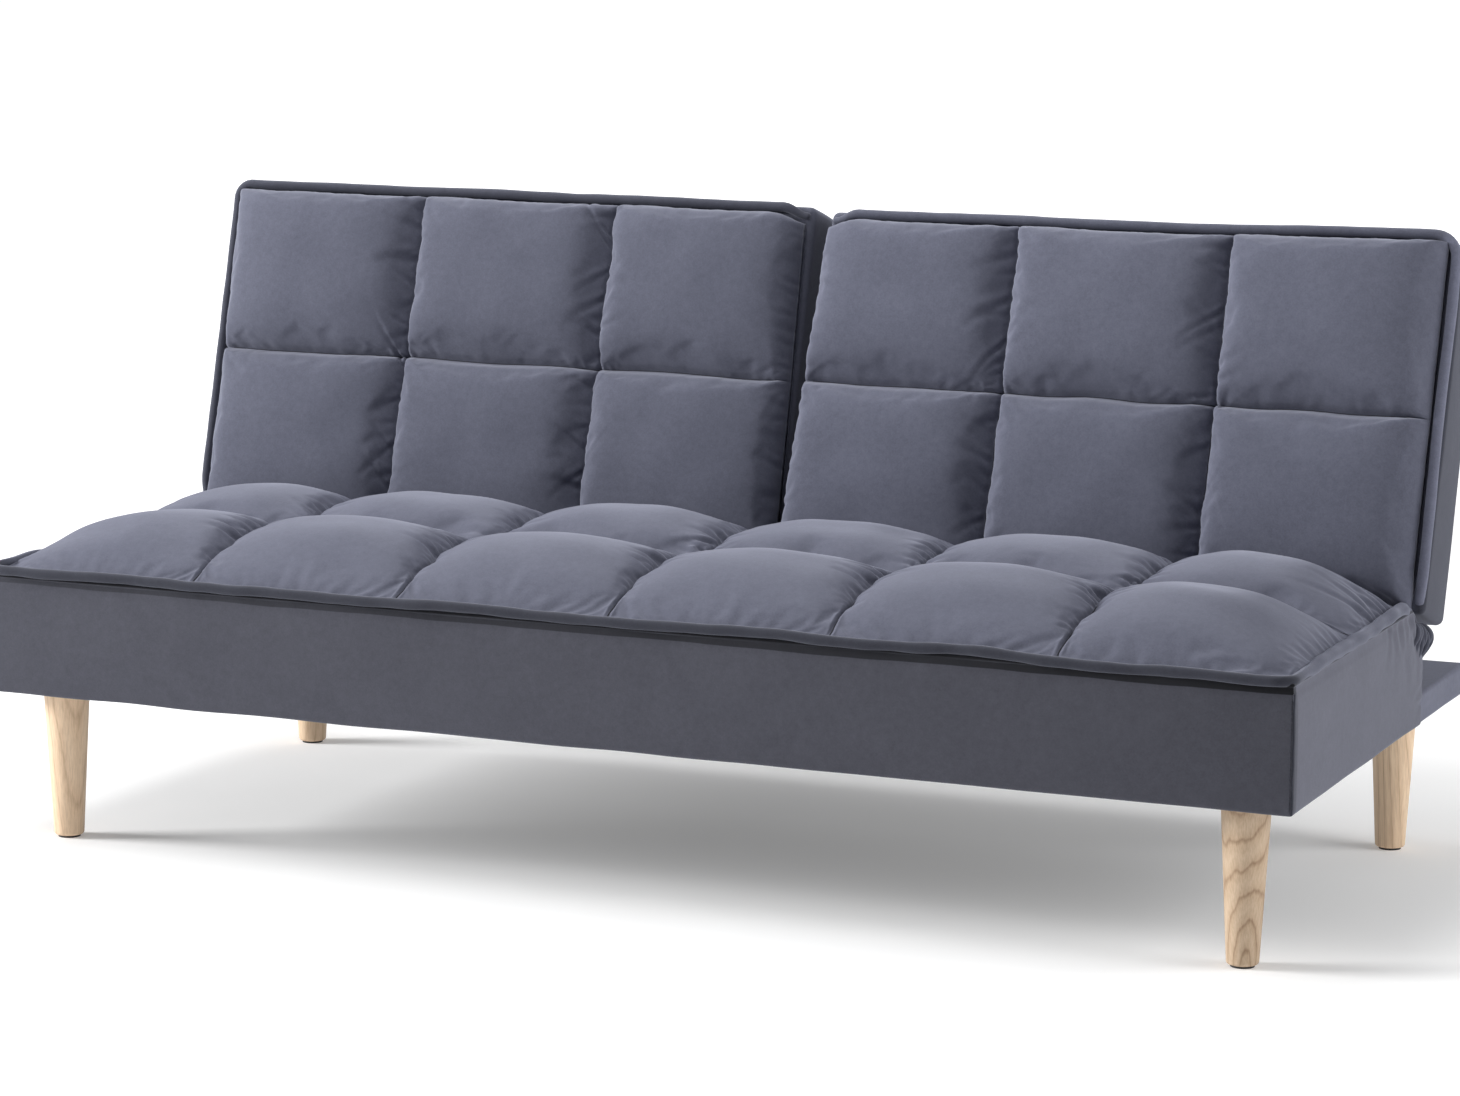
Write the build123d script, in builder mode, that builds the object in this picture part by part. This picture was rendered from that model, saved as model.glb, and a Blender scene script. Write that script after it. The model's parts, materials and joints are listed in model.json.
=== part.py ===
from build123d import *
import math
import os

os.makedirs("parts", exist_ok=True)

# ---------------------------------------------------------------- dimensions
# Millimetres. X runs along the seat, Y from front to rear, Z up, floor at Z 0.
# Depths are written from the seat's front face and shifted by Y_MID, which
# puts the origin under the middle of the bounding box.
Y_MID = 414.6
HALF_W = 900.0          # half the seat width
COVER_T = 3.0           # sewn cover with its thin wadding
SEAT_D = 600.0          # front face to rear face of the seat
BASE_Z = 203.0          # underside of the seat border
SEAM_Z = 354.5          # border meets piping
SEAT_PIPE_R = 9.0
SEAT_PIPE_Z = 364.0
FOAM_Z = 294.0          # underside of the seat foam
CROWN_Z = 424.0         # mean top of the quilted seat
DECK_REAR = 830.0
DECK_Z = 246.0          # top of the covered deck
PLY = 18.0              # frame board thickness
FRAME_X = 895.0         # outer face of the side panels
FRAME_FRONT = 8.0
FRAME_Z0, FRAME_Z1 = 206.0, 285.0
DECK_FRAME_Z = 237.0
LANE_OUT, LANE_IN = 862.0, 28.0   # rails stop here, clear of the hinges

LEG_X, LEG_YF, LEG_YR = 825.0, 62.0, 743.0
LEG_TOP_R, LEG_FOOT_R, LEG_TOP_Z = 31.0, 20.0, 203.6
GLIDE_R, GLIDE_H = 15.0, 3.0
PLATE_A, PLATE_T, PLATE_HOLE = 66.0, 2.4, 26.0

PIVOT_Y, PIVOT_Z = 598.5, 333.0   # hinge axis of both backs
LEAN = math.radians(17.5)         # backs lean this far from upright
BACK_V0, BACK_V1 = 12.0, 508.0    # back band, bottom and top, up from the axis
BACK_XO, BACK_XI0, BACK_XI1 = 898.0, 4.0, 12.0
BACK_REAR, BACK_BAND = -86.0, 29.0
BACK_CROWN = 74.0
BACK_PIPE_R, BACK_PIPE_W = 8.0, 38.0
SCOOP_R = 48.0                    # room in the seat's rear edge for the backs

ARM_T, ARM_GAP = 4.0, 0.5         # hinge plates and the gap between them
HEAD_R, PIN_R, PIN_FIT = 30.0, 5.0, 0.05
STILE_T = 22.0


def yy(y):
    return y - Y_MID


PV = Vector(0, yy(PIVOT_Y), PIVOT_Z)
U = Vector(0, math.sin(LEAN), math.cos(LEAN))     # up along a back
N = Vector(0, -math.cos(LEAN), math.sin(LEAN))    # out of a back's front face


def side_plane(x):
    """Vertical plane across the seat at x; local axes are Y and Z."""
    return Plane.YZ.offset(x)


def back_side_plane(x):
    """Plane across a back at x; local axes run up the back and out of it."""
    return Plane(origin=(x, PV.Y, PV.Z), x_dir=U, z_dir=(1, 0, 0))


def back_face_plane(w):
    """Plane parallel to a back's face, w in front of the hinge axis."""
    return Plane(origin=PV + N * w, x_dir=(1, 0, 0), z_dir=N)


def save(builder, name):
    builder.part.label = name
    export_step(builder.part, "parts/" + name + ".step")


def block(x0, x1, y0, y1, z0, z1, mode=Mode.ADD):
    """Box between depths y0 and y1 from the seat front."""
    with Locations(((x0 + x1) / 2, yy((y0 + y1) / 2), (z0 + z1) / 2)):
        Box(abs(x1 - x0), y1 - y0, z1 - z0, mode=mode)


def polygon(plane, pts, amount, mode=Mode.ADD, taper=0.0, corner=0.0):
    with BuildSketch(plane) as sk:
        with BuildLine():
            Polyline(*pts, close=True)
        make_face()
        if corner:
            fillet(sk.vertices(), corner)
    extrude(sk.sketch, amount=amount, mode=mode, taper=taper)


def hull(plane, circles, amount, mode=Mode.ADD):
    with BuildSketch(plane) as sk:
        for a, b, r in circles:
            with Locations((a, b)):
                Circle(r)
        make_hull()
    extrude(sk.sketch, amount=amount, mode=mode)


def rod(x0, x1, y, z, r, mode=Mode.ADD):
    """Cylinder along X at (y, z) in the shifted frame."""
    with Locations(Location(((x0 + x1) / 2, y, z), (0, 90, 0))):
        Cylinder(r, abs(x1 - x0), mode=mode)


def post(x, y, z0, z1, r, mode=Mode.ADD):
    with Locations((x, yy(y), (z0 + z1) / 2)):
        Cylinder(r, z1 - z0, mode=mode)


# ------------------------------------------------------------ hinge stacking
# Each hinge is stacked along X from the board it is screwed to. Depth d runs
# from that board's face towards the back's stile.
HINGES = []
for side, s in (("left", -1), ("right", 1)):
    HINGES.append((side, "outer", s * (FRAME_X - PLY), -s))
    HINGES.append((side, "inner", s * PLY / 2, s))


def lane(h, d):
    return h[2] + h[3] * d


def span(h, d0, d1):
    a, b = lane(h, d0), lane(h, d1)
    return min(a, b), max(a, b)


ARM_A = (556.0, 276.0)            # crank of the fixed arm
ARM_B = (410.0, 262.0)            # end of the fixed arm
SEAT_SCREWS = [(415.0, 262.5), (465.0, 267.3), (515.0, 272.1)]
BACK_A = (58.0, -58.0)            # crank of the moving arm, up and out
BACK_B = (208.0, -60.0)
BACK_SCREWS = [(92.0, -60.0), (147.0, -60.0), (202.0, -60.0)]
D_SEAT = (0.0, ARM_T)
D_BACK = (ARM_T + ARM_GAP, 2 * ARM_T + ARM_GAP)
PAWL_ANGLE, PAWL_R, TIP_ANGLE, TIP_R = 225.0, 50.0, 250.0, 32.1
PAWL_Y = PV.Y + PAWL_R * math.cos(math.radians(PAWL_ANGLE))
PAWL_Z = PV.Z + PAWL_R * math.sin(math.radians(PAWL_ANGLE))
TIP_Y = PV.Y + TIP_R * math.cos(math.radians(TIP_ANGLE))
TIP_Z = PV.Z + TIP_R * math.sin(math.radians(TIP_ANGLE))
STOPS = [0.0, 36.0, 72.5]         # sitting, lounging, flat


def back_point(v, w):
    p = PV + U * v + N * w
    return p.Y, p.Z


# ------------------------------------------------------------------ the base
with BuildPart() as front_rail:
    block(-FRAME_X + PLY, FRAME_X - PLY, FRAME_FRONT, FRAME_FRONT + PLY, FRAME_Z0, FRAME_Z1)
save(front_rail, "front_rail")

STEP_Y = 594.0
panel_pts = [
    (yy(FRAME_FRONT), FRAME_Z0), (yy(826), FRAME_Z0), (yy(826), DECK_FRAME_Z),
    (yy(STEP_Y), DECK_FRAME_Z), (yy(STEP_Y), FRAME_Z1), (yy(FRAME_FRONT), FRAME_Z1),
]
for side, x0 in (("left", -FRAME_X), ("right", FRAME_X - PLY)):
    with BuildPart() as side_panel:
        polygon(side_plane(x0), panel_pts, PLY)
        for h in HINGES:
            if h[0] == side and h[1] == "outer":
                for y, z in SEAT_SCREWS:
                    rod(*span(h, -8.0, 0.0), yy(y), z, 2.0, mode=Mode.SUBTRACT)
    save(side_panel, "side_panel_" + side)

CENTRE_F, CENTRE_R = FRAME_FRONT + PLY, 808.0
with BuildPart() as centre_panel:
    polygon(side_plane(-PLY / 2), [
        (yy(CENTRE_F), FRAME_Z0), (yy(CENTRE_R), FRAME_Z0), (yy(CENTRE_R), DECK_FRAME_Z),
        (yy(STEP_Y), DECK_FRAME_Z), (yy(STEP_Y), FRAME_Z1), (yy(CENTRE_F), FRAME_Z1),
    ], PLY)
    for h in HINGES:
        if h[1] == "inner":
            for y, z in SEAT_SCREWS:
                rod(*span(h, -8.0, 0.0), yy(y), z, 2.0, mode=Mode.SUBTRACT)
save(centre_panel, "centre_panel")

RAIL_Y0 = 572.0
for side, s in (("left", -1), ("right", 1)):
    with BuildPart() as rear_rail:
        block(*sorted((s * PLY / 2, s * (FRAME_X - PLY))), RAIL_Y0, RAIL_Y0 + PLY, FRAME_Z0, 240)
        block(*sorted((s * LANE_IN, s * LANE_OUT)), RAIL_Y0, RAIL_Y0 + PLY, 240, FRAME_Z1)
    save(rear_rail, "seat_rear_rail_" + side)

with BuildPart() as deck_rear_rail:
    block(-FRAME_X + PLY, FRAME_X - PLY, 808, 826, FRAME_Z0, DECK_FRAME_Z)
save(deck_rear_rail, "deck_rear_rail")

with BuildPart() as deck_bearers:
    for x in (-440, 440):
        block(x - PLY / 2, x + PLY / 2, RAIL_Y0 + PLY, 808, FRAME_Z0, DECK_FRAME_Z)
save(deck_bearers, "deck_bearers")

with BuildPart() as deck_board:
    block(-FRAME_X, FRAME_X, 601, 826, DECK_FRAME_Z, DECK_FRAME_Z + 6)
save(deck_board, "deck_board")

LEGS = {
    "leg_front_left": (-LEG_X, LEG_YF), "leg_front_right": (LEG_X, LEG_YF),
    "leg_rear_left": (-LEG_X, LEG_YR), "leg_rear_right": (LEG_X, LEG_YR),
}

with BuildPart() as corner_blocks:
    for x, y in LEGS.values():
        s = 1 if x > 0 else -1
        y0, y1 = (26.0, 108.0) if y < 400 else (700.0, 786.0)
        block(*sorted((s * 785, s * (FRAME_X - PLY))), y0, y1, FRAME_Z0, DECK_FRAME_Z - 2)
        post(x, y, FRAME_Z0, DECK_FRAME_Z - 2, 4.0, mode=Mode.SUBTRACT)
        for dx in (-PLATE_HOLE, PLATE_HOLE):
            for dy in (-PLATE_HOLE, PLATE_HOLE):
                post(x + dx, y + dy, FRAME_Z0, FRAME_Z0 + 22, 2.0, mode=Mode.SUBTRACT)
save(corner_blocks, "corner_blocks")

with BuildPart() as leg_plates:
    for x, y in LEGS.values():
        with BuildSketch(Plane.XY.offset(FRAME_Z0 - PLATE_T)):
            with Locations((x, yy(y))):
                RectangleRounded(PLATE_A, PLATE_A, 6)
                Circle(4.0, mode=Mode.SUBTRACT)
                with GridLocations(2 * PLATE_HOLE, 2 * PLATE_HOLE, 2, 2):
                    Circle(2.2, mode=Mode.SUBTRACT)
        extrude(amount=PLATE_T)
save(leg_plates, "leg_plates")

with BuildPart() as leg_plate_screws:
    for x, y in LEGS.values():
        for dx in (-PLATE_HOLE, PLATE_HOLE):
            for dy in (-PLATE_HOLE, PLATE_HOLE):
                post(x + dx, y + dy, LEG_TOP_Z - 2.2, LEG_TOP_Z, 3.8)
                post(x + dx, y + dy, LEG_TOP_Z, FRAME_Z0 + 22, 2.0)
save(leg_plate_screws, "leg_plate_screws")

with BuildPart() as leg_hanger_bolts:
    for x, y in LEGS.values():
        post(x, y, 158, DECK_FRAME_Z - 4, 4.0)
save(leg_hanger_bolts, "leg_hanger_bolts")

for name, (x, y) in LEGS.items():
    with BuildPart() as leg:
        with BuildSketch(Plane(origin=(x, yy(y), 0), x_dir=(1, 0, 0), z_dir=(0, -1, 0))) as prof:
            with BuildLine():
                Polyline((0, GLIDE_H), (LEG_FOOT_R, GLIDE_H), (LEG_TOP_R, LEG_TOP_Z), (0, LEG_TOP_Z), close=True)
            make_face()
            fillet(prof.vertices().sort_by(Axis.X)[2:3], 4.0)
        revolve(axis=Axis((x, yy(y), 0), (0, 0, 1)))
        post(x, y, 158, LEG_TOP_Z, 4.0, mode=Mode.SUBTRACT)
    save(leg, name)

with BuildPart() as leg_glides:
    for x, y in LEGS.values():
        post(x, y, 0, GLIDE_H, GLIDE_R)
save(leg_glides, "leg_glides")

# Sinuous springs: straight runs joined by half-turn arcs, front rail to rear.
SPRING_X = [s * x for s in (-1, 1) for x in (110, 275, 440, 605, 770)]
WIRE_R, WIRE_Z, SPRING_W, SPRING_ROWS = 1.75, 287.85, 22.0, 16
SPRING_Y0, SPRING_Y1 = 17.0, 581.0
PITCH = (SPRING_Y1 - SPRING_Y0) / (SPRING_ROWS - 1)
with BuildPart() as seat_springs:
    for x in SPRING_X:
        pts = []
        for i in range(SPRING_ROWS):
            y = yy(SPRING_Y0 + i * PITCH)
            row = [(x - SPRING_W, y, WIRE_Z), (x + SPRING_W, y, WIRE_Z)]
            pts += row if i % 2 == 0 else row[::-1]
        with BuildLine() as wire:
            FilletPolyline(*pts, radius=PITCH / 2 * 0.98)
        with BuildSketch(Plane(origin=pts[0], z_dir=(1, 0, 0))):
            Circle(WIRE_R)
        sweep(path=wire.line)
save(seat_springs, "seat_springs")

with BuildPart() as spring_clips:
    for x in SPRING_X:
        for y, s in ((SPRING_Y0, -1), (SPRING_Y1, 1)):
            yc = yy(y)
            polygon(side_plane(x - 8), [
                (yc - s * 5, FRAME_Z1), (yc + s * 5, FRAME_Z1), (yc + s * 5, FRAME_Z1 + 5.8),
                (yc - s * 1, FRAME_Z1 + 5.8), (yc - s * 1, FRAME_Z1 + 4.8), (yc + s * 4, FRAME_Z1 + 4.8),
                (yc + s * 4, FRAME_Z1 + 1.0), (yc - s * 5, FRAME_Z1 + 1.0),
            ], 16)
save(spring_clips, "spring_clips")

with BuildPart() as spring_felt:
    block(-856, 856, 9, 568, 291.2, FOAM_Z)
    block(-LANE_IN, LANE_IN, 524, 570, 290, 296, mode=Mode.SUBTRACT)
save(spring_felt, "spring_felt")


def scoop(r, z0, x=HALF_W + 5):
    """Clear the room that the backs swing through, above z0."""
    with BuildSketch(side_plane(-x)) as sk:
        with Locations((PV.Y, PV.Z)):
            Circle(r)
        with Locations((PV.Y, z0 - r)):
            Rectangle(2 * r + 2, 2 * r, mode=Mode.SUBTRACT)
    extrude(sk.sketch, amount=2 * x, mode=Mode.SUBTRACT)


REST_Z = 335.0
with BuildPart() as seat_foam:
    block(-HALF_W + 4, HALF_W - 4, 4, 596, FOAM_Z, 353)
    polygon(Plane.XY.offset(353), [(-879, yy(19)), (879, yy(19)), (879, yy(545)), (-879, yy(545))],
            CROWN_Z - COVER_T - 353, taper=45, corner=12)
    scoop(SCOOP_R + 1, REST_Z)
    block(-HALF_W, HALF_W, 556, 600, REST_Z, 360, mode=Mode.SUBTRACT)
    for x0, x1 in ((-LANE_IN, LANE_IN), (858, 884), (-884, -858)):
        block(x0, x1, 524, 600, 290, 352, mode=Mode.SUBTRACT)
save(seat_foam, "seat_foam")

with BuildPart() as seat_cover_top:
    polygon(Plane.XY.offset(353.2), [(-882, yy(16)), (882, yy(16)), (882, yy(548)), (-882, yy(548))],
            CROWN_Z - 353.2, taper=45, corner=12)
    polygon(Plane.XY.offset(353.0), [(-879, yy(19)), (879, yy(19)), (879, yy(545)), (-879, yy(545))],
            CROWN_Z - COVER_T - 353, taper=45, corner=12, mode=Mode.SUBTRACT)
save(seat_cover_top, "seat_cover_top")

with BuildPart() as seat_border_front:
    block(-HALF_W, HALF_W, 0, COVER_T, BASE_Z, SEAM_Z)
save(seat_border_front, "seat_border_front")

for side, x0 in (("left", -HALF_W), ("right", HALF_W - COVER_T)):
    with BuildPart() as seat_border:
        block(x0, x0 + COVER_T, COVER_T, 600, BASE_Z, SEAM_Z)
        scoop(SCOOP_R, REST_Z)
        block(x0, x0 + COVER_T, 556, 602, REST_Z, 360, mode=Mode.SUBTRACT)
    save(seat_border, "seat_border_" + side)

with BuildPart() as seat_border_rear:
    block(-HALF_W + COVER_T, HALF_W - COVER_T, 597, 600, DECK_Z + 0.5, 322)
    for x0, x1 in ((-LANE_IN, LANE_IN), (858, 884), (-884, -858)):
        block(x0, x1, 590, 605, 280, 330, mode=Mode.SUBTRACT)
save(seat_border_rear, "seat_border_rear")

with BuildPart() as seat_piping:
    e = HALF_W - SEAT_PIPE_R
    with BuildLine() as seat_pipe_path:
        FilletPolyline((-e, yy(543), SEAT_PIPE_Z), (-e, yy(5), SEAT_PIPE_Z), (e, yy(5), SEAT_PIPE_Z), (e, yy(543), SEAT_PIPE_Z), radius=20)
    with BuildSketch(Plane(origin=(-e, yy(543), SEAT_PIPE_Z), z_dir=(0, -1, 0))):
        Circle(SEAT_PIPE_R)
    sweep(path=seat_pipe_path.line)
save(seat_piping, "seat_piping")

with BuildPart() as deck_cover:
    block(-HALF_W, HALF_W, 601, DECK_REAR, BASE_Z, DECK_Z)
    block(-HALF_W + COVER_T, HALF_W - COVER_T, 595, DECK_REAR - COVER_T, BASE_Z - 1, DECK_Z - COVER_T, mode=Mode.SUBTRACT)
save(deck_cover, "deck_cover")

with BuildPart() as dust_cover:
    block(-893, 893, 6, 824, 204.6, 205.6)
    for x, y in LEGS.values():
        block(x - 36, x + 36, y - 36, y + 36, 203, 207, mode=Mode.SUBTRACT)
save(dust_cover, "dust_cover")

# ----------------------------------------------------------- fixed hinge parts
with BuildPart() as hinge_seat_arms:
    for h in HINGES:
        x0, x1 = span(h, *D_SEAT)
        hull(side_plane(x0), [(PV.Y, PV.Z, HEAD_R), (yy(ARM_A[0]), ARM_A[1], 15)], ARM_T)
        hull(side_plane(x0), [(yy(ARM_A[0]), ARM_A[1], 15), (yy(ARM_B[0]), ARM_B[1], 15)], ARM_T)
        rod(x0 - 1, x1 + 1, PV.Y, PV.Z, PIN_R, mode=Mode.SUBTRACT)
        rod(x0 - 1, x1 + 1, PAWL_Y, PAWL_Z, 3.0, mode=Mode.SUBTRACT)
        for y, z in SEAT_SCREWS:
            rod(x0 - 1, x1 + 1, yy(y), z, 2.2, mode=Mode.SUBTRACT)
save(hinge_seat_arms, "hinge_seat_arms")

with BuildPart() as hinge_seat_screws:
    for h in HINGES:
        for y, z in SEAT_SCREWS:
            rod(*span(h, ARM_T, ARM_T + 2.4), yy(y), z, 4.2)
            rod(*span(h, -8.0, ARM_T), yy(y), z, 2.0)
save(hinge_seat_screws, "hinge_seat_screws")

with BuildPart() as hinge_pins:
    for h in HINGES:
        rod(*span(h, -3.5, 0.0), PV.Y, PV.Z, 9.0)
        rod(*span(h, 0.0, D_BACK[1] + 0.4), PV.Y, PV.Z, PIN_R)
        rod(*span(h, D_BACK[1] + 0.4, D_BACK[1] + 3.6), PV.Y, PV.Z, 9.0)
save(hinge_pins, "hinge_pins")

with BuildPart() as pawl_pins:
    for h in HINGES:
        rod(*span(h, 0.0, 14.6), PAWL_Y, PAWL_Z, 3.0)
        rod(*span(h, 14.6, 16.0), PAWL_Y, PAWL_Z, 5.2)
save(pawl_pins, "pawl_pins")

with BuildPart() as pawl_springs:
    for h in HINGES:
        rod(*span(h, 9.2, 14.4), PAWL_Y, PAWL_Z, 5.0)
        rod(*span(h, 9.0, 14.6), PAWL_Y, PAWL_Z, 3.4, mode=Mode.SUBTRACT)
save(pawl_springs, "pawl_springs")

for h in HINGES:
    with BuildPart() as pawl:
        x0, x1 = span(h, *D_BACK)
        hull(side_plane(x0), [(PAWL_Y, PAWL_Z, 7), (TIP_Y, TIP_Z, 1.5)], ARM_T)
        hull(side_plane(x0), [(PAWL_Y, PAWL_Z, 7), (PAWL_Y - 17, PAWL_Z - 11, 3)], ARM_T)
        rod(x0 - 1, x1 + 1, PAWL_Y, PAWL_Z, 3.0 + PIN_FIT, mode=Mode.SUBTRACT)
    save(pawl, "pawl_" + h[0] + "_" + h[1])


# ------------------------------------------------------------------ the backs
def outline(s, inset):
    """Corners of a back seen from the front, drawn in by inset."""
    pts = [
        (s * (BACK_XI0 + inset), BACK_V0 + inset), (s * (BACK_XO - inset), BACK_V0 + inset),
        (s * (BACK_XO - inset), BACK_V1 - inset), (s * (BACK_XI1 + inset), BACK_V1 - inset),
    ]
    return pts if s > 0 else pts[::-1]


def hinge_room(side, r, d0, d1):
    """Pocket round the hinges of one back, with the path of the moving arms."""
    for h in HINGES:
        if h[0] == side:
            x0, x1 = span(h, d0, d1)
            hull(back_side_plane(x0), [(0, 0, r), (0, 0.01, r)], x1 - x0, mode=Mode.SUBTRACT)
            x0, x1 = span(h, D_BACK[0] - 1.0, D_BACK[1] + 1.0)
            hull(back_side_plane(x0), [(0, 0, 21), (BACK_A[0], BACK_A[1], 18)], x1 - x0, mode=Mode.SUBTRACT)


for side, s in (("left", -1), ("right", 1)):
    mine = [h for h in HINGES if h[0] == side]
    prefix = side + "_back_"

    with BuildPart() as stiles:
        for h in mine:
            x0, x1 = span(h, D_BACK[1], D_BACK[1] + STILE_T)
            polygon(back_side_plane(x0), [(34, -80), (500, -80), (500, -40), (34, -40)], x1 - x0)
            for v, w in BACK_SCREWS:
                y, z = back_point(v, w)
                rod(*span(h, D_BACK[1], D_BACK[1] + 15), y, z, 2.0, mode=Mode.SUBTRACT)
    save(stiles, prefix + "stiles")

    inner = [h for h in mine if h[1] == "inner"][0]
    outer = [h for h in mine if h[1] == "outer"][0]
    xa, xb = sorted((lane(inner, D_BACK[1] + STILE_T), lane(outer, D_BACK[1] + STILE_T)))
    with BuildPart() as rails:
        for v0, v1 in ((34, 74), (246, 276), (460, 500)):
            polygon(back_side_plane(xa), [(v0, -80), (v1, -80), (v1, -40), (v0, -40)], xb - xa)
    save(rails, prefix + "rails")

    xa, xb = sorted((lane(inner, D_BACK[1] + 2), lane(outer, D_BACK[1] + 2)))
    with BuildPart() as webbing:
        for v in (125, 195, 330, 400):
            polygon(back_side_plane(xa), [(v - 25, -40), (v + 25, -40), (v + 25, -38.6), (v - 25, -38.6)], xb - xa)
    save(webbing, prefix + "webbing")

    with BuildPart() as foam:
        polygon(back_face_plane(-38.4), outline(s, COVER_T), BACK_BAND + 38.4 - 1.0)
        polygon(back_face_plane(BACK_BAND - 1.0), outline(s, 21), BACK_CROWN - COVER_T - BACK_BAND + 1.0, taper=42, corner=10)
        hinge_room(side, 37, -10, 18)
    save(foam, prefix + "foam")

    with BuildPart() as front_cover:
        polygon(back_face_plane(BACK_BAND - 0.8), outline(s, 18), BACK_CROWN - BACK_BAND + 0.8, taper=42, corner=10)
        polygon(back_face_plane(BACK_BAND - 1.0), outline(s, 21), BACK_CROWN - COVER_T - BACK_BAND + 1.0, taper=42, corner=10, mode=Mode.SUBTRACT)
        hinge_room(side, 37, -10, 18)
    save(front_cover, prefix + "front_cover")

    with BuildPart() as band:
        polygon(back_face_plane(BACK_REAR + COVER_T), outline(s, 0), BACK_BAND - BACK_REAR - COVER_T)
        polygon(back_face_plane(BACK_REAR), outline(s, COVER_T), BACK_BAND - BACK_REAR + 1, mode=Mode.SUBTRACT)
        hinge_room(side, 37, -10, 18)
    save(band, prefix + "band")

    with BuildPart() as rear_cover:
        polygon(back_face_plane(BACK_REAR), outline(s, 0), COVER_T)
    save(rear_cover, prefix + "rear_cover")

    with BuildPart() as piping:
        pf = back_face_plane(BACK_PIPE_W)
        e = BACK_XO - BACK_PIPE_R
        top = BACK_V1 + 4 - BACK_PIPE_R
        p = [pf.from_local_coords(Vector(*q, 0)) for q in ((s * (BACK_XI1 + 24), top), (s * e, top), (s * e, 34))]
        with BuildLine() as pipe_path:
            FilletPolyline(*p, radius=22)
        with BuildSketch(Plane(origin=p[0], z_dir=(s, 0, 0))):
            Circle(BACK_PIPE_R)
        sweep(path=pipe_path.line)
    save(piping, prefix + "piping")

    with BuildPart() as hinge_arms:
        for h in mine:
            x0, x1 = span(h, *D_BACK)
            hull(back_side_plane(x0), [(0, 0, HEAD_R), (0, 0.01, HEAD_R)], ARM_T)
            hull(back_side_plane(x0), [(0, 0, 18), (BACK_A[0], BACK_A[1], 14)], ARM_T)
            hull(back_side_plane(x0), [(BACK_A[0], BACK_A[1], 14), (BACK_B[0], BACK_B[1], 14)], ARM_T)
            rod(x0 - 1, x1 + 1, PV.Y, PV.Z, PIN_R + PIN_FIT, mode=Mode.SUBTRACT)
            for stop in STOPS:
                a = math.radians(TIP_ANGLE + stop)
                rod(x0 - 1, x1 + 1, PV.Y + 31 * math.cos(a), PV.Z + 31 * math.sin(a), 3.6, mode=Mode.SUBTRACT)
            for v, w in BACK_SCREWS:
                y, z = back_point(v, w)
                rod(x0 - 1, x1 + 1, y, z, 2.2, mode=Mode.SUBTRACT)
    save(hinge_arms, prefix + "hinge_arms")

    with BuildPart() as hinge_screws:
        for h in mine:
            for v, w in BACK_SCREWS:
                y, z = back_point(v, w)
                rod(*span(h, D_BACK[0] - 2.4, D_BACK[0]), y, z, 4.2)
                rod(*span(h, D_BACK[0], D_BACK[1] + 15), y, z, 2.0)
    save(hinge_screws, prefix + "hinge_screws")
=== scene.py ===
import json
import math

import bpy
import numpy as np
from mathutils import Matrix, Vector


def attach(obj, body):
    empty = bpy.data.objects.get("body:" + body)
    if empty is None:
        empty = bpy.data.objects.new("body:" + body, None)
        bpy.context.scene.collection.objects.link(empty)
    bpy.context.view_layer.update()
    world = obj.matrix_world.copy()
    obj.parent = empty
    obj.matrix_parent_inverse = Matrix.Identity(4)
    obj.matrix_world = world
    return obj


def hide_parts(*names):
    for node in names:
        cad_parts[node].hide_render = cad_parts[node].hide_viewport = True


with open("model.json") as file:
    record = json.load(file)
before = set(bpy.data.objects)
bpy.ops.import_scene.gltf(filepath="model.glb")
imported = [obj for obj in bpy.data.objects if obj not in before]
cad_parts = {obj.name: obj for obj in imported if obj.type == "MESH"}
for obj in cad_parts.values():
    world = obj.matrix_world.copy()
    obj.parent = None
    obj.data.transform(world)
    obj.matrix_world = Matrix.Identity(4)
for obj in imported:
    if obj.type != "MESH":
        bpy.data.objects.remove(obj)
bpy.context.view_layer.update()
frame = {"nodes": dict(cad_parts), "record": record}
NODES = frame["nodes"]
SCENE = bpy.context.scene

# ------------------------------------------------------------------ frame
# Metres. Depths below are written from the seat's front face, as in the CAD,
# and moved by YM into the shared frame.
YM = 0.4146
PIVOT = np.array([0.0, 0.5985 - YM, 0.333])
LEAN = math.radians(17.5)
UP = np.array([0.0, math.sin(LEAN), math.cos(LEAN)])      # up along a back
OUT = np.array([0.0, -math.cos(LEAN), math.sin(LEAN)])    # out of its front


def back_to_world(q):
    """(x, v, w) of a back: along the sofa, up the back, out of its face."""
    q = np.asarray(q, float)
    return PIVOT + q[:, :1] * np.array([1.0, 0, 0]) + q[:, 1:2] * UP + q[:, 2:3] * OUT


def seat_to_world(q):
    q = np.array(q, float)
    q[:, 1] -= YM
    return q


# ------------------------------------------------------------------ noise
def waves(p, scale, seed, n=22):
    """Smooth seeded noise from about -1 to 1; p is (k, d), scale in metres."""
    p = np.atleast_2d(np.asarray(p, float))
    if p.shape[0] == 1 and p.shape[1] > 3:
        p = p.T
    rng = np.random.default_rng(seed)
    d = rng.normal(size=(n, p.shape[1]))
    d /= np.linalg.norm(d, axis=1, keepdims=True)
    f = rng.uniform(0.55, 1.5, n) * 2 * math.pi / scale
    ph = rng.uniform(0, 2 * math.pi, n)
    out = np.zeros(len(p))
    for i in range(n):
        out += np.cos((p @ d[i]) * f[i] + ph[i])
    return out / math.sqrt(n) * 0.9


def line_noise(t, scale, seed, n=16):
    return waves(np.asarray(t, float).reshape(-1, 1), scale, seed, n)


def smooth(t, a, b):
    t = np.clip((np.asarray(t, float) - a) / (b - a), 0, 1)
    return t * t * (3 - 2 * t)


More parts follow.
